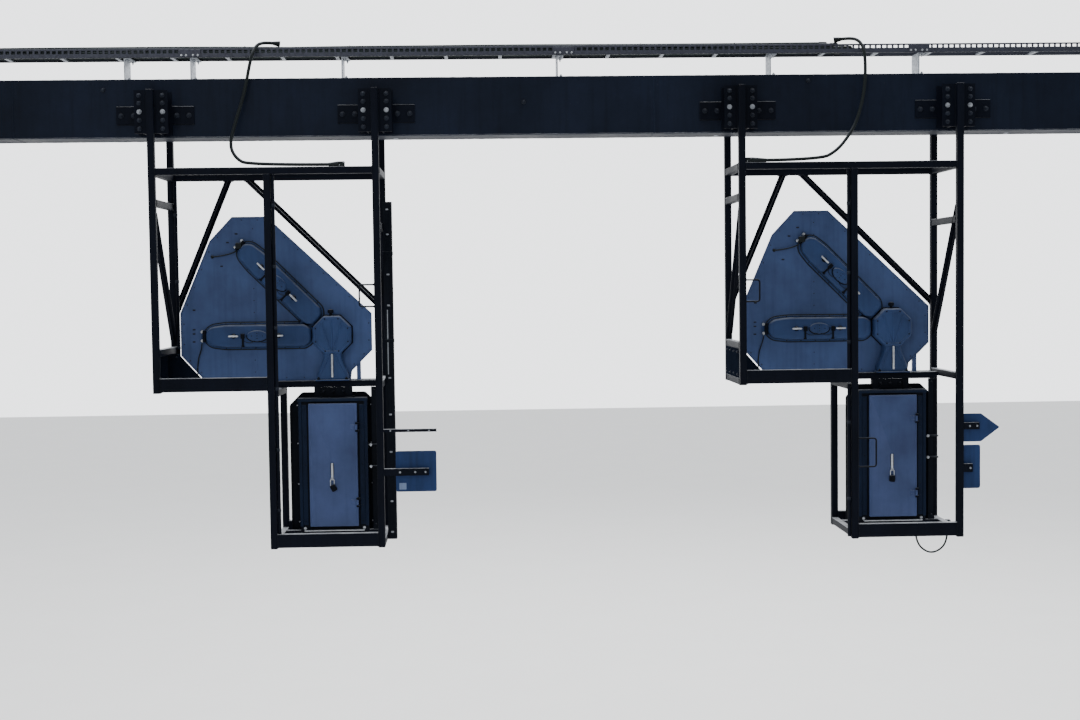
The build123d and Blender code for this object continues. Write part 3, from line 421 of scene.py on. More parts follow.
class Shape:
    """One piece's mesh, put together from closed bodies."""

    origin = Vector()

    def __init__(self):
        self.mesh = bmesh.new()

    def loft(self, rings, closed=False):
        made = [[self.mesh.verts.new(point + Shape.origin) for point in ring] for ring in rings]
        pairs = list(zip(made, made[1:])) + ([(made[-1], made[0])] if closed else [])
        for low, high in pairs:
            for (a, b), (c, d) in zip(sides_of(low), sides_of(high)):
                self.mesh.faces.new((a, b, d, c))
        if not closed:
            self.mesh.faces.new(made[0])
            self.mesh.faces.new(made[-1])

    def steps(self, place, *layers, closed=False):
        """Body through outlines, each at its own height."""
        self.loft([[place @ Vector((*p, height)) for p in outline] for outline, height in layers], closed)

    def tiers(self, place, outline, *tiers):
        """Body through one outline that is moved inwards at several heights."""
        self.steps(place, *[(inset(outline, inwards), height) for inwards, height in tiers])

    def fence(self, place, outer, inner, low, high):
        """Closed wall between two outlines."""
        self.steps(place, (outer, low), (outer, high), (inner, high), (inner, low), closed=True)

    def plate(self, place, outline, low, high, bevel=0.0015):
        self.tiers(place, outline, (bevel, low), (0, low + bevel), (0, high - bevel), (bevel, high))

    def box(self, low, high, bevel=0.0015, place=Matrix()):
        """Box between two corners with broken edges."""
        middle = [(a + b) / 2 for a, b in zip(low, high)]
        width, depth, height = (b - a for a, b in zip(low, high))
        self.plate(shifted(place, *middle), rectangle(width, depth, bevel, 1), -height / 2, height / 2, bevel)

    def turned(self, place, profile, sides=24):
        """Body of revolution through pairs of radius and height."""
        self.steps(place, *[(circle(radius, sides), height) for radius, height in profile])

    def rod(self, points, radius, sides=10, closed=False, place=Matrix()):
        """Round bar along a line; a list of radii gives each point its own."""
        points = [place @ Vector(p) for p in points]
        radii = radius if isinstance(radius, list) else [radius] * len(points)
        rings = []
        for (here, side, up), size in zip(frames_along(points, closed), radii):
            rings.append([here + side * p.x * size + up * p.y * size for p in circle(1, sides)])
        self.loft(rings, closed)

    def weld(self, points, size=0.004, closed=False, pitch=0.011, place=Matrix()):
        """Uneven weld bead along a line."""
        points = [place @ Vector(p) for p in points]
        ends = points + points[:1] if closed else points
        line = []
        for a, b in zip(ends, ends[1:]):
            count = max(1, round((b - a).length / pitch))
            line += [a.lerp(b, i / count) for i in range(count)]
        if not closed:
            line.append(ends[-1])
        self.rod(line, [size * random.uniform(0.8, 1.15) for _ in line], 6, closed)

    def bolt(self, place, across=0.034, stud=0.0):
        """Hexagon head or nut on a washer; a stud length gives it a bolt end."""
        half = across / 2
        washer, head = 0.13 * across, 0.55 * across
        self.turned(place, [(half * 1.22, 0), (half * 1.25, washer * 0.3), (half * 1.2, washer)], 16)
        turn = random.uniform(0, math.pi / 3)
        layers = ((0.97, washer), (1, washer + 0.0006), (1, head), (0.86, head + 0.06 * across))
        self.steps(place, *[(circle(half * share, 6, turn), height) for share, height in layers])
        if stud:
            top = head + stud
            self.turned(place, [(half * 0.55, head), (half * 0.55, top - 0.003), (half * 0.42, top)], 12)

    def rivet(self, place, radius=0.005):
        self.turned(place, [(radius, 0), (radius * 0.9, radius * 0.35), (radius * 0.45, radius * 0.62)], 10)

    def bolts(self, way, xs, ys, zs, *sizes):
        for spot in spread(xs, ys, zs):
            self.bolt(facing(way, *spot), *sizes)

    def rivets(self, way, xs, ys, zs, radius):
        for spot in spread(xs, ys, zs):
            self.rivet(facing(way, *spot), radius)

    def done(self, name, material, *hides, body="gantry_frame", slot=None):
        """Turn the mesh into a piece that rides on a body and replaces the CAD nodes that it hides."""
        bmesh.ops.recalc_face_normals(self.mesh, faces=self.mesh.faces)
        mesh = bpy.data.meshes.new(name)
        self.mesh.to_mesh(mesh)
        self.mesh.free()
        mesh.polygons.foreach_set("use_smooth", [len(face.vertices) <= 4 for face in mesh.polygons])
        mesh.set_sharp_from_angle(angle=math.radians(SHARP_ANGLES.get(material, SHARP_ANGLE)))
        mesh.materials.append(MATERIALS[material])
        piece = linked(mesh)
        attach(piece, body)
        slot or SLOTS.get(material, material)
        if hides:
            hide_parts(*hides)
        return piece


def pieces(count):
    return [Shape() for _ in range(count)]


def solid_boxes(node):
    """Lowest and highest corner of each separate solid of a CAD node."""
    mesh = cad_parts[node].data
    keys = [tuple(round(c, 5) for c in v.co) for v in mesh.vertices]
    parent = {key: key for key in keys}

    def root(key):
        while parent[key] != key:
            parent[key] = parent[parent[key]]
            key = parent[key]
        return key

    for edge in mesh.edges:
        a, b = (root(keys[i]) for i in edge.vertices)
        if a != b:
            parent[a] = b
    groups = {}
    for key in parent:
        groups.setdefault(root(key), []).append(key)
    boxes = [
        [Vector([end(axis) for axis in zip(*group)]) for end in (min, max)] for group in groups.values()
    ]
    return sorted(boxes, key=lambda box: tuple(box[0]))


# Loose cables

def centreline(curve):
    """Points of a curve's own smooth line, read before it gets its thickness."""
    line = bpy.data.meshes.new_from_object(curve)
    points = [Vector(v.co) for v in line.vertices]
    bpy.data.meshes.remove(line)
    return points


def cable_curve(name, points, diameter):
    """Smooth cable through the control points, and its centreline."""
    data = bpy.data.curves.new(f"{name}_cord", "CURVE")
    data.dimensions = "3D"
    data.resolution_u = 16
    spline = data.splines.new("NURBS")
    spline.points.add(len(points) - 1)
    for point, place in zip(spline.points, points):
        point.co = (*place, 1)
    spline.order_u = 3
    spline.use_endpoint_u = True
    curve = linked(data)
    line = centreline(curve)
    data.bevel_depth = diameter / 2
    data.bevel_resolution = 5
    data.use_fill_caps = True
    data.materials.append(MATERIALS["cable_sheath"])
    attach(curve, "gantry_frame")
    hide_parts(name)
    return curve, line


def sleeve(name, line, diameter, length, nut):
    """Tapered strain relief over the start of a line, with a gland nut at its root."""
    shape = Shape()
    points, run = line[:1], 0.0
    while run < length:
        points.append(line[len(points)])
        run += (points[-1] - points[-2]).length
    count = len(points) - 1
    shape.rod(points, [diameter * (0.95 - 0.4 * i / count) for i in range(count + 1)], 16)
    if nut:
        ahead = (points[1] - points[0]).normalized()
        place = at(*points[0]) @ ahead.to_track_quat("Z", "Y").to_matrix().to_4x4()
        layers = ((0.72, 0), (0.756, 0.002), (0.756, 0.014), (0.648, 0.016))
        shape.steps(place, *[(circle(diameter * share, 6), height) for share, height in layers])
    return shape.done(name, "cable_sheath")


def loose_cables():
    """The two drops from the tray and the slack loop under the right cage."""
    for name, points, diameter, length, relief in (
        ("left_drop_cable", LEFT_DROP, DROP_DIAMETER, LEFT_DROP_LENGTH, 0.05),
        ("right_drop_cable", RIGHT_DROP, DROP_DIAMETER, RIGHT_DROP_LENGTH, 0.05),
        ("right_slack_cable", SLACK, SLACK_DIAMETER, SLACK_LENGTH, 0.03),
    ):
        curve, line = cable_curve(name, points, diameter)
        top = sleeve(f"{name}_relief", line, diameter, relief, False)
        foot = sleeve(f"{name}_foot", line[::-1], diameter, relief + 0.005, True)
        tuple(points[0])


def glands():
    """Boxes with rounded edges that the cables enter, with a lid and two screws each."""
    shape, screws = pieces(2)
    for low, high in solid_boxes("cable_glands"):
        shape.box(low, high, 0.003)
        edge = 0.004
        lid = (low.x + edge, low.y - 0.002, low.z + edge), (high.x - edge, low.y + 0.001, high.z - edge)
        shape.box(*lid, 0.0008)
        for x, z in ((low.x + 0.009, low.z + 0.009), (high.x - 0.009, high.z - 0.009)):
            screws.rivet(facing("near", x, low.y - 0.002, z), 0.003)
    shape.done("cable_glands_boxes", "cable_sheath", "cable_glands")
    screws.done("cable_glands_screws", "bright_steel")


# Cage members, boom and columns

def hollow_member(shape, low, high):
    """Square section with rolled corners along the longest side of its box."""
    size = high - low
    along = max(range(3), key=lambda i: size[i])
    place = facing(("right", "far", "up")[along], *((low + high) / 2))
    sides = [size[i] for i in range(3) if i != along]
    outline = rectangle(*sides, CORNER_RADIUS, 3)
    half = size[along] / 2
    shape.plate(place, outline, -half, half, 0.0008)
    return place, outline, half


def cage_members():
    """Posts, rails and ties of both cages as rolled hollow sections with welded joints."""
    for side in CAGES:
        shape, welds = pieces(2)
        nodes = [f"{side}_cage_{kind}" for kind in ("posts", "rails", "ties")]
        for node in nodes:
            for low, high in solid_boxes(node):
                place, outline, half = hollow_member(shape, low, high)
                for end in (0.002 - half, half - 0.002) if node != nodes[0] else ():
                    welds.weld([(*p, end) for p in outline[::2]], 0.0035, True, 0.014, place)
        shape.done(f"{side}_cage_members", "cage_paint", *nodes)
        welds.done(f"{side}_cage_welds", "weld")


def post_feet():
    """Cover plates on the open lower ends of the posts."""
    shape = Shape()
    for _ in each_of(CAGES):
        for x, y in product((0.02, POST_REACH), (-POST_DEPTH, POST_DEPTH)):
            shape.box((-0.022, -0.022, 3.956), (0.022, 0.022, 3.961), 0.001, at(x, y, 0))
    shape.done("post_feet", "cage_paint")


def hanger_fasteners():
    """Bolts and weld beads of the brackets that carry the cages."""
    bolts, bright, welds = pieces(3)
    for _ in each_of(HANGERS):
        for way, back, sign in (("near", "far", -1), ("far", "near", 1)):
            for x, z in product((-0.083, 0.083), (7.003, 7.064, 7.125, 7.186, 7.241)):
                shown = bright if z == 7.125 and sign < 0 else bolts
                shown.bolt(facing(way, x, sign * 0.3, z), 0.03, 0.008)
                bolts.bolt(facing(back, x, sign * 0.288, z), 0.03, 0.014)
            bolts.bolts(way, (-0.245, -0.155, 0.155, 0.245), sign * 0.162, 7.112, 0.032, 0.01)
            for x, y in product((-0.061, -0.049, 0.049, 0.061), (sign * 0.1635, sign * 0.2865)):
                welds.weld([(x, y, 6.975), (x, y, 7.275)], 0.005)
            for z, (start, end) in product((7.048, 7.177), ((-0.28, -0.122), (0.122, 0.28))):
                welds.weld([(start, sign * 0.152, z), (end, sign * 0.152, z)], 0.004)
            for x in (-0.0265, 0.0265):
                welds.weld([(x, sign * 0.3015, 6.975), (x, sign * 0.3015, 7.27)], 0.004)
    bolts.done("hanger_bolts", "old_bolts", slot="cage_paint")
    bright.done("hanger_new_bolts", "galvanised")
    welds.done("hanger_welds", "weld")


def boom_details():
    """Joint welds, lone bolts, edge welds, end cover bolts and drain plugs of the boom."""
    half, side, bottom, top = BOOM
    welds, bolts, plugs = pieces(3)
    around = corners(side, bottom, top)
    for x in (0.71, -3.95, 5.35):
        welds.weld(softened([(x, y, z) for y, z in around], 0.006, 2), 0.004, True)
    for y, z in around:
        z += 0.001 if z == bottom else -0.001
        welds.weld([(-half, y * 0.995, z), (half, y * 0.995, z)], 0.0035, pitch=0.03)
    for x, z in ((-0.25, 7.19), (1.85, 7.33), (-3.3, 7.3), (4.9, 7.18)):
        bolts.bolt(facing("near", x, -side, z), 0.028, 0.006)
        bolts.bolt(facing("far", x, side, z), 0.028, 0.006)
    for way, sign in (("left", -1), ("right", 1)):
        x = sign * (half + 0.015)
        bolts.bolts(way, x, (-0.115, 0.115), (bottom + 0.04, (bottom + top) / 2, top - 0.04), 0.026, 0.006)
        welds.weld([(x - sign * 0.013, y, z) for y, z in around], 0.005, True)
    for x in (-6.4, -4.6, -1.2, 1.2, 3.4, 6.2):
        plugs.turned(facing("down", x, 0.06, bottom), [(0.018, 0), (0.016, 0.004), (0.008, 0.005)], 14)
    welds.done("boom_welds", "weld_dark")
    bolts.done("boom_bolts", "old_bolts", slot="structure_paint")
    plugs.done("boom_drain_plugs", "galvanised")


def columns():
    """Smooth round columns with their welds, an earthing boss, anchor nuts and seat bolts."""
    for side, middle in COLUMNS.items():
        shape, welds, anchors, seats = pieces(4)
        shaft = [(0.1775, 0.05), (0.1778, 0.053), (0.1778, 6.902), (0.1775, 6.905)]
        shape.turned(at(middle, 0, 0), shaft, 64)
        shape.done(f"{side}_column_shaft", "structure_paint", f"{side}_column_tube")
        for z, size in ((0.054, 0.008), (6.901, 0.007), (3.5, 0.003)):
            welds.weld([(middle + p.x, p.y, z) for p in circle(0.179, 56)], size, True, 0.02)
        welds.weld([(middle - 0.1255, -0.1255, z) for z in (0.06, 6.895)], 0.0025, pitch=0.04)
        for angle, way in product((45, 135, 225, 315), (-0.011, 0.011)):
            turn = math.radians(angle)
            along = Vector((math.cos(turn), math.sin(turn), 0))
            foot = Vector((middle, 0, 0)) + Vector((-math.sin(turn), math.cos(turn), 0)) * way
            for line in (((0.181, 0.054), (0.325, 0.054)), ((0.18, 0.06), (0.18, 0.325))):
                welds.weld([foot + along * reach + Vector((0, 0, z)) for reach, z in line], 0.006)
        welds.done(f"{side}_column_welds", "weld_dark")
        for x, y in product((middle - 0.28, middle + 0.28), (-0.49, 0.49)):
            anchors.plate(at(x, y, 0.05), rectangle(0.11, 0.11, 0.008, 2), 0, 0.01)
            anchors.bolt(at(x, y, 0.06), 0.069)
            anchors.bolt(at(x, y, 0.1045), 0.069, 0.03)
        anchors.done(f"{side}_anchor_nuts", "galvanised")
        for x, y in product((middle - 0.185, middle + 0.185), (-0.172, 0.172)):
            seats.bolt(facing("up", x, y, 6.955), 0.036, 0.016)
            seats.bolt(facing("down", x, y, 6.905), 0.036, 0.006)
        boss = facing("near", middle, -0.1765, 0.45)
        seats.turned(boss, [(0.026, 0), (0.026, 0.016), (0.023, 0.019)], 20)
        seats.bolt(shifted(boss, z=0.019), 0.024, 0.01)
        seats.done(f"{side}_seat_bolts", "old_bolts", slot="structure_paint")


# Cable tray and riser

def slotted_rail(shape, y, inward):
    """Side rail of the tray: a thin web with a row of slots in its upper half and rolled edges."""
    start, end, low, high = TRAY
    pitch, slot, margin, gauge = 0.042, 0.027, 0.01, 0.002
    rows = [low, low + 0.03, high - 0.012, high]
    xs = [start]
    for index in range(int((end - start - 2 * margin) / pitch)):
        left = start + margin + index * pitch + (pitch - slot) / 2
        xs += [left, left + slot]
    xs.append(end)
    last = len(xs) - 1
    near, far = [
        [[shape.mesh.verts.new((x, y + depth * inward, z)) for z in rows] for x in xs] for depth in (0, gauge)
    ]
    for grid, i, j in product((near, far), range(last), range(3)):
        if j != 1 or i % 2 == 0:
            shape.mesh.faces.new((grid[i][j], grid[i + 1][j], grid[i + 1][j + 1], grid[i][j + 1]))
    border = [(i, 0) for i in range(last + 1)] + [(last, j) for j in (1, 2, 3)]
    border += [(i, 3) for i in range(last - 1, -1, -1)] + [(0, j) for j in (2, 1)]
    for loop in [[(i, 1), (i + 1, 1), (i + 1, 2), (i, 2)] for i in range(1, last, 2)] + [border]:
        for (a, b), (c, d) in sides_of(loop):
            shape.mesh.faces.new((near[a][b], near[c][d], far[c][d], far[a][b]))
    edge_y = y + inward * 0.006
    shape.rod([(start, edge_y, high - 0.003), (end, edge_y, high - 0.003)], 0.003, 8)
    low_y, high_y = sorted((y, y + inward * 0.016))
    shape.box((start, low_y, low), (end, high_y, low + 0.002), 0.0004)


def tray():
    """Cable tray: slotted side rails, splice plates and clamp bolts."""
    shape, bolts = pieces(2)
    low, high = TRAY[2:]
    for sign in (-1, 1):
        slotted_rail(shape, sign * TRAY_HALF_WIDTH, -sign)
    for x, (way, sign) in product((-5.3, -2.68, 0.05, 2.69, 5.6), (("near", -1), ("far", 1))):
        splice = facing(way, x, sign * TRAY_HALF_WIDTH, (low + high) / 2)
        shape.plate(splice, rectangle(0.16, 0.05, 0.004, 2), 0, 0.003)
        across = [x + dx for dx in (-0.06, -0.025, 0.025, 0.06)]
        bolts.bolts(way, across, sign * (TRAY_HALF_WIDTH + 0.003), low + 0.016, 0.013, 0.003)
    for low_corner, high_corner in solid_boxes("tray_stub_posts"):
        for y in (-0.06, 0.06):
            bolts.bolt(facing("up", low_corner.x + 0.032, y, low_corner.z + 0.008), 0.022, 0.008)
            bolts.bolt(facing("down", low_corner.x + 0.032, y, high_corner.z - 0.008), 0.016, 0.012)
    # The rails take the darkened zinc: painted shade
    shape.done("tray_rails", "shaded_tray_zinc", "tray_side_rails")
    bolts.done("tray_bolts", "bright_steel")


# Middles in Y and Z, and radii, of the cables in the tray
PILE = (
    (-0.073, 7.572, 0.019), (-0.033, 7.57, 0.017), (0.004, 7.573, 0.0195), (0.043, 7.571, 0.018),
    (0.075, 7.568, 0.015), (-0.056, 7.601, 0.0165), (-0.018, 7.604, 0.019), (0.022, 7.602, 0.0165),
    (0.058, 7.599, 0.0155), (-0.08, 7.598, 0.0105), (0.082, 7.593, 0.009), (0.04, 7.618, 0.0085),
    (-0.038, 7.6185, 0.0095),
)
PILE_END = 2.18
UPPER_LAYER = 7.59


def tray_pile():
    """Cables of several thicknesses that wander in the tray, with ties and capped ends."""
    start = TRAY[0]
    shape, caps, ties = pieces(3)
    for index, (y, z, radius) in enumerate(PILE):
        end = PILE_END - 0.045 * ((index * 5) % 7)
        phase, wave = random.uniform(0, 6.3), random.uniform(0.9, 1.9)
        lean = random.uniform(0.002, 0.005)
        line = []
        for step in range(101):
            x = start + (end - start) * step / 100
            sway = lean * math.sin(wave * x + phase) + 0.0015 * math.sin(5.1 * x + phase * 2)
            dip = -0.004 * math.exp(-((x + 2.0) / 0.25) ** 2) if z > UPPER_LAYER else 0
            rise = 0.0015 * math.sin(2.3 * x + phase * 3)
            line.append((x, y + sway, z + dip + rise))
        shape.rod(line, radius)
        cap = ((1.12, -0.045), (1.14, 0.004), (0.95, 0.012), (0.4, 0.016))
        caps.turned(facing("right", *line[-1]), [(radius * share, height) for share, height in cap], 14)
    tie = (
        (-0.094, 7.553), (0.094, 7.553), (0.094, 7.612), (0.045, 7.6275), (-0.045, 7.6285), (-0.094, 7.612),
    )
    for step in range(12):
        x = -6.5 + 0.71 * step + random.uniform(-0.05, 0.05)
        ties.rod(softened([(x, y, z) for y, z in tie], 0.012, 3), 0.0022, 6, True)
    shape.done("tray_cable_pile", "pile_cables", "tray_cables")
    caps.done("tray_cable_ends", "cable_sheath")
    ties.done("tray_cable_ties", "cable_sheath")


def riser():
    """Covers, lids, straps and screws of the trunking on the left column."""
    shape, screws = pieces(2)
    joints = (1.1, 2.6, 4.1, 5.6, 7.0)
    cover = corners(0.112, -0.057, 0.057)
    for _ in each_of({"left": COLUMNS["left"]}):
        for z in joints:
            shape.steps(at(0, 0.28, z), (cover, -0.035), (cover, 0.035))
            screws.rivets("far", (-0.09, 0, 0.09), 0.337, (z - 0.02, z + 0.02), 0.006)
        for low, high in zip((0.017, *joints), (*joints, 7.567)):
            lid = rectangle(0.192, high - low - 0.078, 0.003, 2)
            shape.plate(facing("far", 0, 0.335, (low + high) / 2), lid, 0, 0.0018, 0.0006)
        for z in (0.7, 2.1, 3.6, 5.1, 6.5):
            shape.box((-0.13, 0.17, z - 0.02), (0.13, 0.226, z + 0.02), 0.002)
            screws.bolts("far", (-0.122, 0.122), 0.226, z, 0.014, 0.01)
        shape.plate(facing("far", 0, 0.335, 7.607), rectangle(0.28, 0.11, 0.006, 2), 0, 0.003)
        for z, x in product((7.567, 7.647), (-0.125, 0.125)):
            screws.bolt(facing("far", x, 0.338, z), 0.012, 0.003)
        shape.box((-0.158, -0.108, 7.6785), (0.158, 0.333, 7.6818), 0.0006)
    shape.done("riser_covers", "galvanised")
    screws.done("riser_screws", "bright_steel")


# Route indicators

HALF_RIM = ((0.1445, 0.053), (0.2, 0.097), (0.8, 0.099), (0.912, 0.084), (0.96, 0.04))


def arm_cover(shape, gasket, place):
    """Pressed cover of one arm: a thin rim, a dark gasket whose rings also paint the shadow along the cover's
    edges, a domed pan and an oval boss.
    """
    rim = softened([(s, -t) for s, t in HALF_RIM] + list(HALF_RIM[::-1]), 0.03)
    shape.tiers(place, rim, (0.001, 0.0005), (0, 0.002), (0, 0.0065), (0.0015, 0.008))
    # Dark rings outside the rim and round the pan's foot: gasket, and painted shadow along the cover's edges
    gasket.tiers(place, inset(rim, -0.0085), (0, 0.0002), (0, 0.0045), (0.0015, 0.0055))
    gasket.tiers(place, inset(rim, 0.012), (0, 0.007), (0, 0.018), (0.003, 0.019))
    shape.tiers(
        place, inset(rim, 0.0145), (0, 0.017), (0, 0.04), (0.003, 0.049), (0.009, 0.0555),
        (0.018, 0.059), (0.03, 0.0605), (0.045, 0.0608),
    )
    boss = (
        (0.165, 0.094, 0.06), (0.155, 0.084, 0.062), (0.15, 0.079, 0.069), (0.138, 0.067, 0.0735),
        (0.11, 0.045, 0.0748),
    )
    shape.steps(place, *[(oval(BOSS, length, width), height) for length, width, height in boss])


def arm_fittings_and_shadow_lines(shape, dark, bright, place):
    """Handles, cross screws of the boss, a painted shadow line under the boss, edge screws and the catch at
    the arm's end.
    """
    for s in (0.4, 0.735):
        base = shifted(place, s, z=0.06)
        dark.turned(base, [(0.019, 0), (0.019, 0.004), (0.013, 0.01), (0.011, 0.02)], 18)
        bar = [(dx, 0, 0.028) for dx in (-0.0375, -0.035, -0.012, 0.012, 0.035, 0.0375)]
        bright.rod(bar, [0.0045, 0.0068, 0.0072, 0.0072, 0.0068, 0.0045], 14, place=base)
        bright.turned(base, [(0.0055, 0.018), (0.0055, 0.026)], 12)
    for s, t in ((0, 0.02), (0, 0), (0, -0.02), (-0.04, 0), (0.04, 0)):
        dark.rivet(shifted(place, BOSS + s, t, 0.0745), 0.0042)
    # Dark rod along the lower half of the boss's rim: painted shadow under the boss
    lower = sorted((p for p in oval(BOSS, 0.16, 0.089, 40) if p.y > -0.012), key=lambda p: p.x)
    dark.rod([(*p, 0.063) for p in lower], 0.0042, 8, place=place)
    for s, lean in ((0.668, 1), (0.455, -1)):
        for low, high in (
            ((-0.014, -0.016, 0.06), (0.014, 0.02, 0.08)), ((-0.007, 0.018, 0.0605), (0.007, 0.076, 0.066)),
            ((-0.011, 0.07, 0.05), (0.011, 0.082, 0.064)),
        ):
            dark.box(low, high, 0.0012, shifted(place, s))
        lead = ((0, 0.03, 0.067), (0.03, 0.052, 0.066), (0.07, 0.05, 0.066), (0.095, 0.034, 0.07))
        line = [(s - lean * back, t, height) for back, t, height in lead]
        dark.rod(softened(line, 0.02, 3, False), 0.0022, 6, place=place)
    for s in (0.545, 0.575):
        dark.rod([(s, 0.028, 0.0735), (s, -0.028, 0.0735)], 0.0015, 6, place=place)
    for s, t in product((0.25, 0.36, 0.47, 0.58, 0.69, 0.8), (-0.0925, 0.0925)):
        dark.rivet(shifted(place, s, t, 0.0078), 0.0045)
    shape.plate(shifted(place, 0.972), rectangle(0.03, 0.105, 0.006, 3), 0, 0.016)
    dark.plate(shifted(place, 0.96), rectangle(0.022, 0.088, 0.004, 2), 0.015, 0.042)
    for t in (-0.034, 0.034):
        bright.bolt(shifted(place, 0.978, t, 0.016), 0.02, 0.008)


def indicators():
    """Covers, gaskets that also paint shadow lines, handles, pivot housings and stands of the route
    indicators.
    """
    for side in each_of(CAGES, *PIVOT):
        shape, gasket, dark, bright = pieces(4)
        for angle in ARM_ANGLES:
            place = facing("near", 0, BOARD_BACK, 0, angle)
            arm_cover(shape, gasket, place)
            arm_fittings_and_shadow_lines(shape, dark, bright, place)
        shape.done(f"{side}_arm_covers", "signal_blue", f"{side}_indicator_arms")
        gasket.done(f"{side}_arm_gaskets_and_shadow_lines", "cable_sheath")
        pivot_housing(side, dark, bright)
        dark.done(f"{side}_arm_fittings_and_shadow_lines", "signal_black")
        bright.done(f"{side}_arm_handles", "bright_steel")


def pivot_housing(side, dark, bright):
    """Eight-sided housing with a raised rim and fan ribs on a waisted stand."""
    shape = Shape()
    place = facing("near", 0, BOARD_BACK, 0)
    eight = softened(octagon(0.1435), 0.012, 3)
    rim = (
        (0, 0), (0, 0.078), (0.003, 0.087), (0.01, 0.0935), (0.016, 0.095), (0.022, 0.0935), (0.026, 0.09),
    )
    field = [([p * share for p in eight], height) for share, height in ((0.72, 0.0905), (0.4464, 0.0925))]
    shape.steps(place, *[(inset(eight, inwards), height) for inwards, height in rim], *field)
    # Dark eight-sided ring just outside the housing: painted shadow round the casting's edge
    dark.tiers(place, octagon(0.1515), (0, 0.0003), (0, 0.01), (0.002, 0.012))
    waist = [
        (0.1175, -0.345), (0.1175, -0.3), (0.095, -0.245), (0.072, -0.185), (0.064, -0.15), (0.075, -0.125),
    ]
    stand = softened(waist + [(-x, y) for x, y in waist[::-1]], 0.02, 3)
    shape.tiers(place, stand, (0, 0), (0, 0.066), (0.004, 0.078), (0.012, 0.085))
    for lean in (-1, 0, 1):
        top, foot = Vector((lean * 0.08, 0.112, 0.088)), Vector((lean * 0.01, -0.12, 0.09))
        rib = [top.lerp(foot, t) for t in (0, 0.06, 0.5, 0.94, 1)]
        shape.rod(rib, [0.003, 0.0075, 0.0085, 0.0075, 0.004], place=place)
    for lean in (-1, 1):
        rib = [(lean * x, y, 0.083) for x, y in ((0.012, -0.125), (0.04, -0.19), (0.09, -0.3))]
        shape.rod(rib, [0.006, 0.008, 0.005], place=place)
    shape.box((-0.125, 0.072, -0.3435), (0.125, 0.178, -0.335), 0.002)
    shape.done(f"{side}_pivot_casting", "signal_blue", f"{side}_indicator_pivot")
    pin = [(0, y, 0.096) for y in (-0.318, -0.312, -0.15, -0.142)]
    bright.rod(pin, [0.006, 0.0085, 0.0085, 0.006], 14, place=place)
    dark.bolts("up", (-0.105, 0.105), (0.088, 0.15), -0.335, 0.022, 0.008)
    for p in circle(0.131, 8, math.pi / 8):
        dark.rivet(shifted(place, *p, 0.0942), 0.006)
    knob = [(0.011, 0), (0.011, 0.018), (0.02, 0.022), (0.0235, 0.034), (0.019, 0.046), (0.008, 0.051)]
    dark.turned(facing("up", -0.008, 0.118, 0.1425), knob, 18)


# Outline and small marks of an indicator board, and its leads, all from the cage's middle
BOARD_OUTLINE = [
    (-0.54, 5.151), (-0.72, 5.35), (-0.72, 5.67), (-0.49, 6.21), (-0.32, 6.39),
    (-0.06, 6.39), (0.715, 5.655), (0.715, 5.375), (0.56, 5.22), (0.55, 5.151),
]
BOARD_MARKS = (
    (-0.618, 5.693), (-0.621, 5.546), (-0.622, 5.514), (-0.623, 5.454), (-0.404, 6.021), (-0.291, 6.263),
    (-0.357, 6.199),
)
UPPER_LEAD = (
    (-0.472, 0.174, 6.092), (-0.47, 0.164, 6.092), (-0.44, 0.161, 6.094), (-0.38, 0.16, 6.103),
    (-0.33, 0.158, 6.115), (-0.296, 0.15, 6.128), (-0.276, 0.14, 6.148), (-0.266, 0.13, 6.166),
)
LOWER_LEAD = (
    (-0.56, 0.15, 5.44), (-0.566, 0.158, 5.4), (-0.59, 0.164, 5.33), (-0.6, 0.166, 5.26),
    (-0.6, 0.166, 5.17),
)


def boards():
    """Folded edge, rivets, marks and short leads of the indicator boards."""
    edge = anticlockwise(BOARD_OUTLINE)
    for side in each_of(CAGES):
        rim, dark, leads = pieces(3)
        rim.fence(facing("near", 0, BOARD_BACK, 0), edge, inset(edge, 0.003), -0.004, 0.01)
        rim.box((-0.185, 0.1735, 5.165), (-0.15, 0.1752, 6.38), 0.0004)
        dark.rivets("near", -0.1675, 0.1735, [5.22 + 0.09 * i for i in range(13)], 0.0042)
        for a, b in sides_of(inset(edge, 0.024)):
            count = max(1, round((b - a).length / 0.13))
            for i in range(count):
                x, z = a.lerp(b, (i + 0.5) / count)
                dark.rivet(facing("near", x, BOARD_BACK, z), 0.0045)
        for x, z in BOARD_MARKS:
            dark.plate(facing("near", x, BOARD_BACK, z), rectangle(0.022, 0.011, 0.004, 2), 0, 0.003, 0.001)
        leads.rod(softened(UPPER_LEAD, 0.02, 3, False), 0.0048)
        root = facing("near", -0.472, BOARD_BACK, 6.092)
        leads.turned(root, [(0.013, 0), (0.012, 0.006), (0.007, 0.012)], 16)
        leads.box((-0.29, 0.118, 6.15), (-0.245, 0.152, 6.195), 0.004)
        leads.rod(softened(LOWER_LEAD, 0.02, 3, False), 0.0045)
        rim.done(f"{side}_board_edge", "signal_grey")
        dark.done(f"{side}_board_rivets", "old_bolts", slot="signal_grey")
        leads.done(f"{side}_board_leads", "cable_sheath")


# The side that trains see

def hood(shape, place, radius, length):
    """Round hood with a sloped mouth, a rolled lip and a flat flange; local Y is up."""
    collar, gauge, sides = 0.012, 0.003, 32
    back, mouth = [0] * sides, [collar + (length - collar) * min(1, p.y + 1) for p in circle(1, sides)]
    rings = []
    for size, heights in ((radius, back), (radius, mouth), (radius - gauge, mouth), (radius - gauge, back)):
        rings.append([place @ Vector((*p, height)) for p, height in zip(circle(size, sides), heights)])
    shape.loft(rings, closed=True)
    shape.rod([a.lerp(b, 0.5) for a, b in zip(rings[1], rings[2])], gauge * 0.9, 6, True)
    shape.fence(place, circle(radius + 0.012, sides), circle(radius - 0.001, sides), 0, 0.0025)


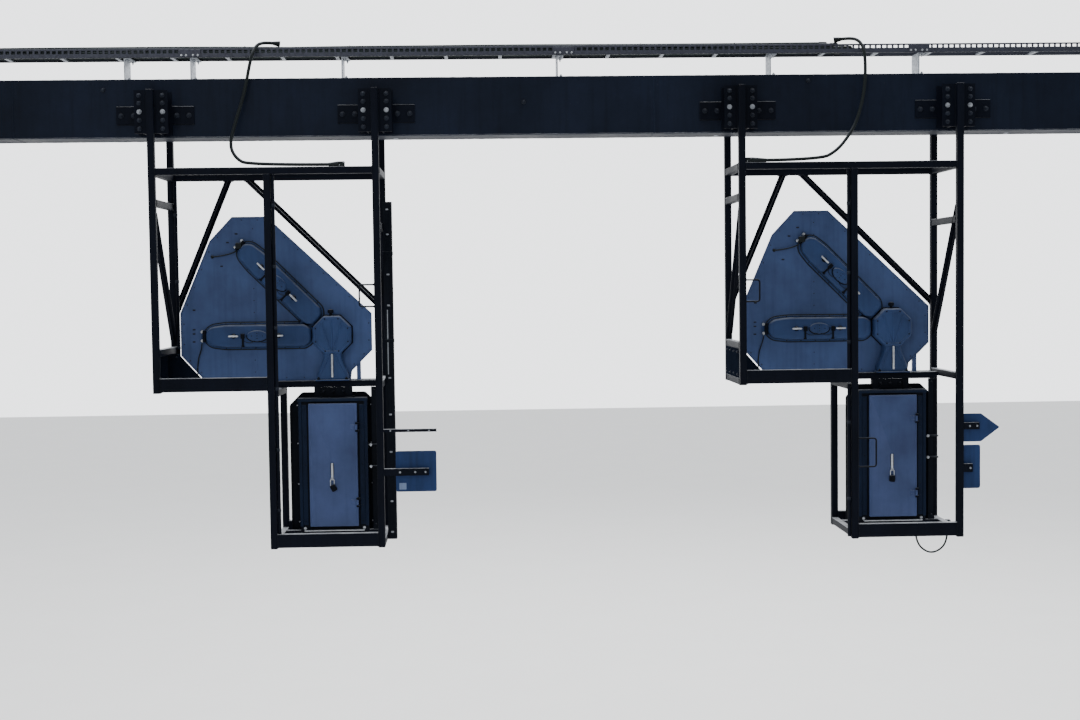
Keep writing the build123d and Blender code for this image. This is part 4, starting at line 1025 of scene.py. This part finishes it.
def ridged_lens(shape, place, radius):
    """Lens with round ridges and a bulged face."""
    profile = [(radius, 0), (radius, 0.007)]
    steps = 9
    for i in range(steps, 0, -1):
        r = radius * 0.97 * i / steps
        dome = 0.008 + 0.006 * (1 - (i / steps) ** 2)
        profile += [(r, dome - 0.001), (r - radius * 0.35 / steps, dome + 0.0018)]
    shape.turned(place, [*profile, (0.001, 0.0145)], 32)


def lamp_places():
    """Middles of an indicator's lamps in X and Z, from the cage's middle."""
    places = [PIVOT]
    for turn, index in product(map(math.radians, ARM_ANGLES), range(1, 5)):
        reach = LAMP_PITCH * index
        places.append((PIVOT[0] + reach * math.cos(turn), PIVOT[1] + reach * math.sin(turn)))
    return places


def lights_side():
    """Hoods, lenses, backboards and their screws."""
    small, large, clear, trim, screws = pieces(5)
    colours = {colour: Shape() for colour in ASPECTS}
    for _ in each_of(CAGES):
        for x, z in lamp_places():
            place = facing("far", x, 0.179, z)
            hood(small, place, 0.065, 0.05)
            ridged_lens(clear, place, 0.06)
            for p in circle(0.071, 4, math.pi / 4):
                screws.rivet(shifted(place, *p, 0.0025), 0.0035)
        for colour, z in ASPECTS.items():
            place = facing("far", HEAD_X, HEAD_FRONT, z)
            hood(large, place, 0.108, 0.24)
            ridged_lens(colours[colour], place, 0.103)
            for p in circle(0.114, 8, math.pi / 8):
                screws.rivet(shifted(place, *p, 0.0025), 0.004)
        backboard(trim, screws)
    small.done("indicator_hood_tubes", "signal_black", "indicator_hoods")
    large.done("head_hood_tubes", "signal_black", "left_head_hoods", "right_head_hoods")
    clear.done("indicator_lens_glass", "lens_glass", "signal_lenses")
    for colour, shape in colours.items():
        shape.done(f"{colour}_lens_glass", f"lens_{colour}")
    trim.done("backboards", "signal_black", "head_backboards")
    screws.done("lights_screws", "galvanised")


def backboard(trim, screws):
    """Sheet and rolled edge of a backboard and the screws that hold it to the case."""
    width, low, high, cut = 0.335, 3.9, 5.06, 0.096
    half = [(width - cut, low), (width, low + cut), (width, high - cut), (width - cut, high)]
    outline = [(HEAD_X + x, z) for x, z in half] + [(HEAD_X - x, z) for x, z in half[::-1]]
    outline = softened(outline, 0.012, 3)
    place = facing("near", 0, 0.207, 0)
    trim.plate(place, outline, -0.002, 0.002, 0.0006)
    trim.fence(place, outline, inset(outline, 0.004), 0, 0.018)
    for x, z in product((-0.24, 0.24), (4.07, 4.36, 4.67, 4.96)):
        screws.bolt(facing("far", HEAD_X + x, 0.209, z), 0.016, 0.004)
        screws.rivet(facing("near", HEAD_X + x * 1.16, 0.205, z), 0.006)


# Signal heads, measured from the middle of each head

def head_cases():
    """Gasket, drip rail, ledge, seams and side fittings of the signal heads' cases."""
    for side in each_of(CAGES, HEAD_X):
        dark, bright, gasket, strips = pieces(4)
        gasket.rod(upright_ring(0.172, 0.0985, (4.063, 4.967), 0.03, 4), 0.0055, 8, True)
        for low, high in ((-0.258, -0.235), (0.235, 0.258)):
            strips.box((low, 0.0935, 4.05), (high, 0.1003, 5.0), 0.001)
        for x in (-0.215, 0.215):
            strips.box((x - 0.018, 0.0965, 4.06), (x + 0.018, 0.1002, 4.97), 0.0012)
            dark.rivets("near", x, 0.0965, (4.09, 4.3, 4.52, 4.73, 4.94), 0.0045)
        strips.box((-0.262, 0.078, 5.012), (0.262, 0.104, 5.02), 0.002)
        strips.box((-0.262, 0.078, 4.996), (0.262, 0.0805, 5.0125), 0.0008)
        bright.box((-0.225, 0.07, 4.0165), (0.225, 0.102, 4.0225), 0.0015)
        bright.bolts("near", (-0.222, 0.222), 0.1, 4.035, 0.018, 0.004)
        for z in (4.66, 4.496):
            dark.rod([(0.256, 0.12, z), (0.36, 0.12, z)], 0.007)
            dark.box((0.25, 0.105, z - 0.02), (0.262, 0.135, z + 0.02), 0.002)
            bright.bolt(facing("near", 0.279, 0.113, z), 0.018, 0.004)
        for x in (-0.12, 0.12):
            dark.bolts("up", x + 0.033, (0.142, 0.168), 5.02, 0.016, 0.006)
            dark.weld([(x - 0.023, 0.15, 5.021), (x + 0.023, 0.15, 5.021)])
        for way, x in (("left", -0.256), ("right", 0.256)):
            dark.rivets(way, x, (0.125, 0.18), (4.25, 4.78), 0.006)
        dark.box((-0.142, 0.16, 5.021), (0.142, 0.172, 5.099), 0.002)
        dark.bolts("near", (-0.075, 0, 0.075), 0.16, 5.062, 0.024, 0.006)
        for low, depth in ((0.286, 0.142), (0.328, 0.17)):
            dark.box((low, 0.136, 4.0155), (0.334, depth, 5.0995))
        dark.bolts("near", 0.31, 0.136, (4.05, 5.07), 0.02, 0.006)
        interior(side)
        strips.done(f"{side}_head_strips", "head_edges")
        gasket.done(f"{side}_head_gasket", "cable_sheath")
        dark.done(f"{side}_head_fittings", "signal_black")
        bright.done(f"{side}_head_bright_parts", "bright_steel")


def interior(side):
    """Lamp backs, terminal strips and wiring inside a signal head."""
    cans, strips, wires = pieces(3)
    can = (
        (0.092, 0), (0.092, 0.014), (0.086, 0.02), (0.074, 0.038), (0.052, 0.05), (0.03, 0.056),
        (0.016, 0.0575), (0.004, 0.058),
    )
    for z in ASPECTS.values():
        cans.turned(facing("near", 0, 0.201, z), can, 28)
        for turn in range(15, 375, 60):
            cans.box((0.074, -0.005, 0.02), (0.086, 0.005, 0.038), 0.001, facing("near", 0, 0.201, z, turn))
        strips.box((-0.05, 0.132, z - 0.012), (-0.008, 0.146, z + 0.012), 0.002)
        for x in (-0.043, -0.033, -0.023, -0.013):
            line = (
                (x, 0.138, z - 0.01), (x, 0.132, z - 0.034), (x * 0.2 - 0.118, 0.15, z - 0.06),
                (x * 0.2 - 0.145, 0.18, z - 0.11),
            )
            wires.rod(softened(line, 0.02, 3, False), 0.0022, 6)
    for x, y in ((-0.15, 0.19), (-0.155, 0.184), (-0.16, 0.178)):
        wires.rod([(x, y, 4.05), (x, y, 4.9)], 0.003, 6)
    strips.box((0.12, 0.184, 4.1), (0.165, 0.2005, 4.92), 0.002)
    for z in [4.13 + 0.03 * i for i in range(26)]:
        strips.box((0.126, 0.176, z), (0.159, 0.186, z + 0.018), 0.0012)
    cans.done(f"{side}_lamp_backs", "lamp_casting", *(["lamp_units"] if side == "left" else []))
    strips.done(f"{side}_terminals", "lamp_casting")
    wires.done(f"{side}_head_wires", "cable_sheath")


# How far the door's sheet draws in, and how far behind its face, from the back to the raised field
DOOR_LAYERS = (
    (0, 0), (0, 0.0165), (0.0012, 0.0188), (0.0035, 0.0197), (0.01, 0.0199), (0.0122, 0.0188),
    (0.015, 0.0188), (0.0172, 0.02),
)
HALF_BARREL = ((0.0052, 0.02), (0.0086, 0.02), (0.009, 0.0192))


def doors():
    """Pressed doors with a raised field, hinge leaves, barrels and a padlocked swing bolt."""
    low, high = DOOR_LEVELS
    barrel = [(radius, -height) for radius, height in HALF_BARREL] + list(HALF_BARREL[::-1])
    for side in each_of(CAGES, HEAD_X):
        shape, gasket = pieces(2)
        shape.steps(facing("near", 0, DOOR_BACK + 0.02, (low + high) / 2), *[
            (rectangle(DOOR_WIDTH - 2 * edge, high - low - 2 * edge, max(0.008 - edge, 0.002)), height)
            for edge, height in DOOR_LAYERS
        ])
        for z in HINGE_LEVELS:
            shape.turned(at(*HINGE, z), barrel)
            shape.box((0.131, DOOR_BACK - 0.003, z - 0.02), (0.174, DOOR_BACK + 0.0005, z + 0.02), 0.0008)
            shape.rivets("near", (0.142, 0.158), DOOR_BACK - 0.003, (z - 0.011, z + 0.011), 0.0035)
        gasket.rod(upright_ring(0.17, DOOR_BACK + 0.0185, (4.062, 4.968), 0.03, 3), 0.004, 6, True)
        shape.done(f"{side}_door_panel", "door_paint", f"{side}_head_door", body=f"{side}_door")
        gasket.done(f"{side}_door_seal", "cable_sheath", body=f"{side}_door")
        hasp(side, LOCK_TILT[side])


def hasp(side, tilt):
    """Swing bolt and padlock of one door."""
    strap, lock = pieces(2)
    x, back = -0.01, DOOR_BACK
    bar = rectangle(0.016, 0.13, 0.007, 5)
    strap.tiers(facing("near", x, back, 4.465), bar, (0, 0), (0, 0.0045), (0.0012, 0.006))
    strap.turned(facing("near", x, back - 0.0055, 4.517), [(0.006, 0), (0.006, 0.003), (0.004, 0.0045)], 14)
    staple = ((-0.011, 0), (-0.011, 0.012), (0.011, 0.012), (0.011, 0))
    strap.rod(softened([(x + dx, back - out, 4.417) for dx, out in staple], 0.006, 3, False), 0.0025, 8)
    for dx in (-0.011, 0.011):
        lock.box((x + dx - 0.0015, back - 0.0035, 4.44), (x + dx + 0.0015, back, 4.532), 0.0008)
    place = facing("near", x + 0.02 * math.sin(math.radians(tilt)), back - 0.001, 4.343, tilt)
    body = rectangle(0.042, 0.05, 0.009, 5)
    lock.tiers(place, body, (0.003, 0), (0, 0.003), (0, 0.019), (0.003, 0.022))
    lock.turned(shifted(place, 0, -0.006, 0.022), [(0.006, -0.001), (0.006, 0.0006), (0.003, 0.001)], 14)
    bow = ((-0.014, 4.358), (-0.014, 4.409), (0.014, 4.409), (0.014, 4.358))
    strap.rod(softened([(x + dx, back - 0.0075, z) for dx, z in bow], 0.0135, 6, False), 0.0036, 12)
    strap.done(f"{side}_swing_bolt", "bright_steel", f"{side}_door_hasp", body=f"{side}_door")
    lock.done(f"{side}_padlock", "signal_black", body=f"{side}_door")


def hinge_fixings():
    """Screws of the fixed hinge plates and the heads of the pins."""
    shape = Shape()
    for _ in each_of(CAGES, HEAD_X):
        for z in HINGE_LEVELS:
            shape.rivets("near", (0.202, 0.218), 0.097, (z - 0.022, z + 0.022), 0.0035)
            shape.turned(at(*HINGE, z + 0.035), [(0.0065, -0.001), (0.0065, 0.002), (0.004, 0.003)], 16)
    shape.done("hinge_screws", "old_bolts", slot="signal_black")


# Signs, hand holds and duct

def signs():
    """Sign plates with round corners and bare faces, their rivets and channel bolts."""
    plates, faces, bolts, label = pieces(4)
    left, right = CAGES["left"], CAGES["right"]
    rear = facing("far", 0, SIGN_BACK, 0)
    for x, z, width, height in ((left + 1.056, 4.505, 0.292, 0.294), (right + 0.894, 4.471, 0.128, 0.318)):
        outline = rectangle(width, height, 0.014, 5)
        plates.plate(shifted(rear, -x, z), outline, 0, 0.003, 0.0008)
        faces.plate(shifted(rear, -x, z, 0.003), inset(outline, 0.008), 0, 0.0006, 0.0002)
        rim = upright_ring(width / 2, SIGN_BACK + 0.0015, (z - height / 2, z + height / 2), 0.014, 4)
        plates.rod(rim, 0.0022, 6, True, at(x, 0, 0))
    arrow = ((0.83, 4.656), (0.965, 4.656), (1.105, 4.76), (0.965, 4.864), (0.83, 4.864))
    edge = anticlockwise([(-right - x, z) for x, z in arrow])
    plates.plate(rear, softened(edge, 0.008, 3), 0, 0.003, 0.0008)
    faces.plate(shifted(rear, z=0.003), softened(inset(edge, 0.008), 0.006, 3), 0, 0.0006, 0.0002)
    for middle, y, z, across, stud, reaches in (
        (left, -0.3445, 4.5035, 0.013, 0.003, (0.115, 0.225, 0.3)),
        (right, -0.3445, 4.775, 0.013, 0.003, (0.045, 0.1)), (right, -0.3445, 4.465, 0.013, 0.003, (0.05,)),
        (left, -0.345, 4.8065, 0.01, 0.002, (0.05, 0.18, 0.33)),
    ):
        bolts.bolts("near", [middle + CAGE_SIDE + reach for reach in reaches], y, z, across, stud)
    patch = facing("near", left + 0.957, SIGN_BACK, 4.396)
    label.plate(patch, rectangle(0.052, 0.048, 0.004, 2), 0, 0.0012, 0.0004)
    plates.done("sign_backs", "sign_back", "sign_plates")
    faces.done("sign_faces", "bare_face")
    bolts.done("sign_bolts", "galvanised")
    label.done("left_sign_patch", "pale_patch")


def hand_holds():
    """Bent rods with welded feet on the near posts."""
    shape, welds = pieces(2)
    left, right, y = CAGES["left"], CAGES["right"], -POST_DEPTH
    for face, reach, low, high in (
        (left + 0.775, -0.108, 5.71, 5.868), (right - 0.775, 0.1, 5.71, 5.868),
        (right + 0.045, 0.136, 4.485, 4.695),
    ):
        line = [(face, y, low), (face + reach, y, low), (face + reach, y, high), (face, y, high)]
        shape.rod(softened(line, 0.022, 6, False), 0.006, 14)
        for z in (low, high):
            foot = facing("left" if reach < 0 else "right", face, y, z)
            welds.weld([(*p, 0.001) for p in circle(0.0085, 10)], 0.003, True, 0.01, foot)
    shape.done("hand_holds", "signal_black", "grab_loops", slot="cage_paint")
    welds.done("hand_hold_welds", "weld")


def duct_details():
    """Lid, clips and bands of the upright cable duct on the left cage's side."""
    lid, clips = pieces(2)
    for _ in each_of({"duct": CAGES["left"] + CAGE_SIDE}):
        for low, high in ((-0.0385, -0.0345), (0.0345, 0.0385)):
            lid.box((0.002, low, 3.97), (0.064, high, 6.475), 0.0012)
        for z in (4.45, 5.45, 6.1):
            lid.box((-0.0005, -0.041, z - 0.012), (0.0685, 0.041, z + 0.012), 0.0012)
        for z in (4.02, 4.25, 4.62, 4.9, 5.173, 5.713, 5.942, 6.24, 6.423):
            clip = facing("near", 0.033, -0.0385, z)
            clips.plate(clip, rectangle(0.02, 0.012, 0.002, 2), 0, 0.006, 0.001)
            clips.rivet(shifted(clip, z=0.006), 0.0035)
        clips.box((0.02, -0.0392, 5.2), (0.027, -0.0382, 5.68), 0.0003)
    lid.done("duct_lid", "signal_black")
    clips.done("duct_clips", "galvanised")


def corner_shade_sheets():
    """Sheets in the lower left corner of each cage, dark as painted shade: one beside the board, one in the
    side.
    """
    shape, bolts = pieces(2)
    sheet = ((-0.823, 5.151), (-0.552, 5.151), (-0.732, 5.352), (-0.732, 5.363), (-0.823, 5.363))
    for _ in each_of(CAGES):
        # Both sheets are dark and without sheen to paint the shade in this corner
        shape.plate(facing("near", 0, 0.187, 0), softened(sheet, 0.004, 2), 0, 0.004, 0.0008)
        shape.box((-0.826, -0.3, 5.151), (-0.822, 0.3, 5.3645), 0.0008)
        bolts.bolts("left", -0.826, (-0.24, -0.08, 0.08, 0.24), (5.175, 5.34), 0.014, 0.003)
        bolts.bolts("near", (-0.8, -0.7, -0.6), 0.183, 5.17, 0.014, 0.003)
        bolts.bolts("near", -0.76, 0.183, 5.34, 0.014, 0.003)
    shape.done("corner_shade_sheets", "painted_shade_sheet")
    bolts.done("corner_plate_bolts", "old_bolts", slot="cage_paint")


def conduits():
    """Conduits beside the middle uprights and one far post, held by saddles."""
    pipes, saddles = pieces(2)
    left, right = CAGES["left"], CAGES["right"]
    saddle = [(0.0136, -0.01), (0.0156, -0.009), (0.0156, 0.009), (0.0136, 0.01)]
    for x, y, low, high in (
        (left + 0.059, -POST_DEPTH, 4.0175, 6.668), (right - 0.019, -POST_DEPTH, 5.1535, 6.668),
        (right - 0.019, -POST_DEPTH, 3.972, 5.096), (left - 0.7615, 0.286, 5.154, 6.668),
    ):
        line = [(x, y, z) for z in (low, low + 0.003, high - 0.003, high)]
        pipes.rod(line, [0.0125, 0.0135, 0.0135, 0.0125], 16)
        count = max(2, round((high - low) / 0.45))
        for index in range(count):
            z = low + (high - low) * (index + 0.5) / count
            saddles.turned(at(x, y, z), saddle, 16)
            saddles.bolt(facing("near", x, y - 0.015, z), 0.01, 0.002)
    pipes.done("conduits", "cage_paint")
    saddles.done("conduit_saddles", "old_bolts", slot="cage_paint")


def brace_strip(half):
    """Slanting strip along a side brace, measured upright from its middle line."""
    rise = Vector((0, half))
    return [end - rise for end in BRACE_ENDS] + [end + rise for end in BRACE_ENDS[::-1]]


def brace_fixings():
    """Standing legs of the side braces, and welds at the ends of the far ones."""
    welds, legs = pieces(2)
    for _ in each_of(CAGES):
        for way in (-1, 1):
            side = facing("right", way * POST_REACH, 0, 0)
            legs.plate(side, brace_strip(0.0056), *sorted((way * 0.0245, -way * 0.027)), 0.001)
            if way > 0:
                legs.plate(side, brace_strip(0.04592), -0.003, 0.003, 0.001)
            x = way * (POST_REACH - 0.004)
            for y, z in BRACE_ENDS:
                welds.weld([(x, y, z - 0.045), (x, y, z + 0.045)])
        for x in (-0.37, -0.21):
            welds.weld([(x - 0.04, 0.3485, 6.669), (x + 0.04, 0.3485, 6.669)])
        for x in (-0.774, 0.774):
            welds.weld([(x, 0.3485, 5.66), (x, 0.3485, 5.74)])
    legs.done("side_brace_legs", "cage_paint")
    welds.done("brace_welds", "weld")


# Scene

def dress_nodes():
    """Give each CAD node the material of its own slot."""
    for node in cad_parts.values():
        for slot in node.material_slots:
            slot.material = MATERIALS[slot.material.name.split(".")[0]]


def floor_and_light():
    """Pale floor and plain soft light, brighter from behind and above as in the photograph."""
    mesh = bpy.data.meshes.new("studio_floor")
    half = 60
    mesh.from_pydata([(x, y, 0) for x, y in corners(half, -half, half)], [], [(0, 1, 2, 3)])
    mesh.materials.append(bpy.data.materials.new("studio_floor"))
    n = Nodes(mesh.materials[0])
    tone = n.mix(n.noise(0.8, 3), (0.78, 0.78, 0.77, 1), (0.82, 0.82, 0.81, 1))
    n.feed(n.last, {"Base Color": tone, "Roughness": 0.9})
    linked(mesh)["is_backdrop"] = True
    world = bpy.data.worlds.new("studio")
    bpy.context.scene.world = world
    n = Nodes(world, "Background")
    ahead = n.add("SeparateXYZ", {0: n.place["Generated"]})["Y"]
    share = n.ramp(ahead, -0.6, 0.95, interpolation_type="SMOOTHSTEP")
    n.feed(n.last, {"Color": n.mix(share, (0.47, 0.49, 0.52, 1), (2.7, 2.75, 2.82, 1)), "Strength": 1.0})
    for name, place, energy, size in (
        ("back_top", (4, 16, 19), 3400, 12), ("front_fill", (-6, -17, 15), 700, 5),
        ("top", (0, 0, 22), 2200, 14),
    ):
        data = bpy.data.lights.new(name, "AREA")
        data.energy = energy
        data.size = size
        light = linked(data)
        light.location = place
        light.rotation_euler = (Vector((0, 0, 5)) - light.location).to_track_quat("-Z", "Y").to_euler()


aim_camera()
loose_cables()
dress_nodes()
floor_and_light()
glands()
cage_members()
post_feet()
hanger_fasteners()
boom_details()
columns()
tray()
tray_pile()
riser()
indicators()
boards()
lights_side()
head_cases()
doors()
hinge_fixings()
signs()
hand_holds()
duct_details()
corner_shade_sheets()
conduits()
brace_fixings()

[[list(corner) for corner in box] for box in (CAD_BOX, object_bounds())]
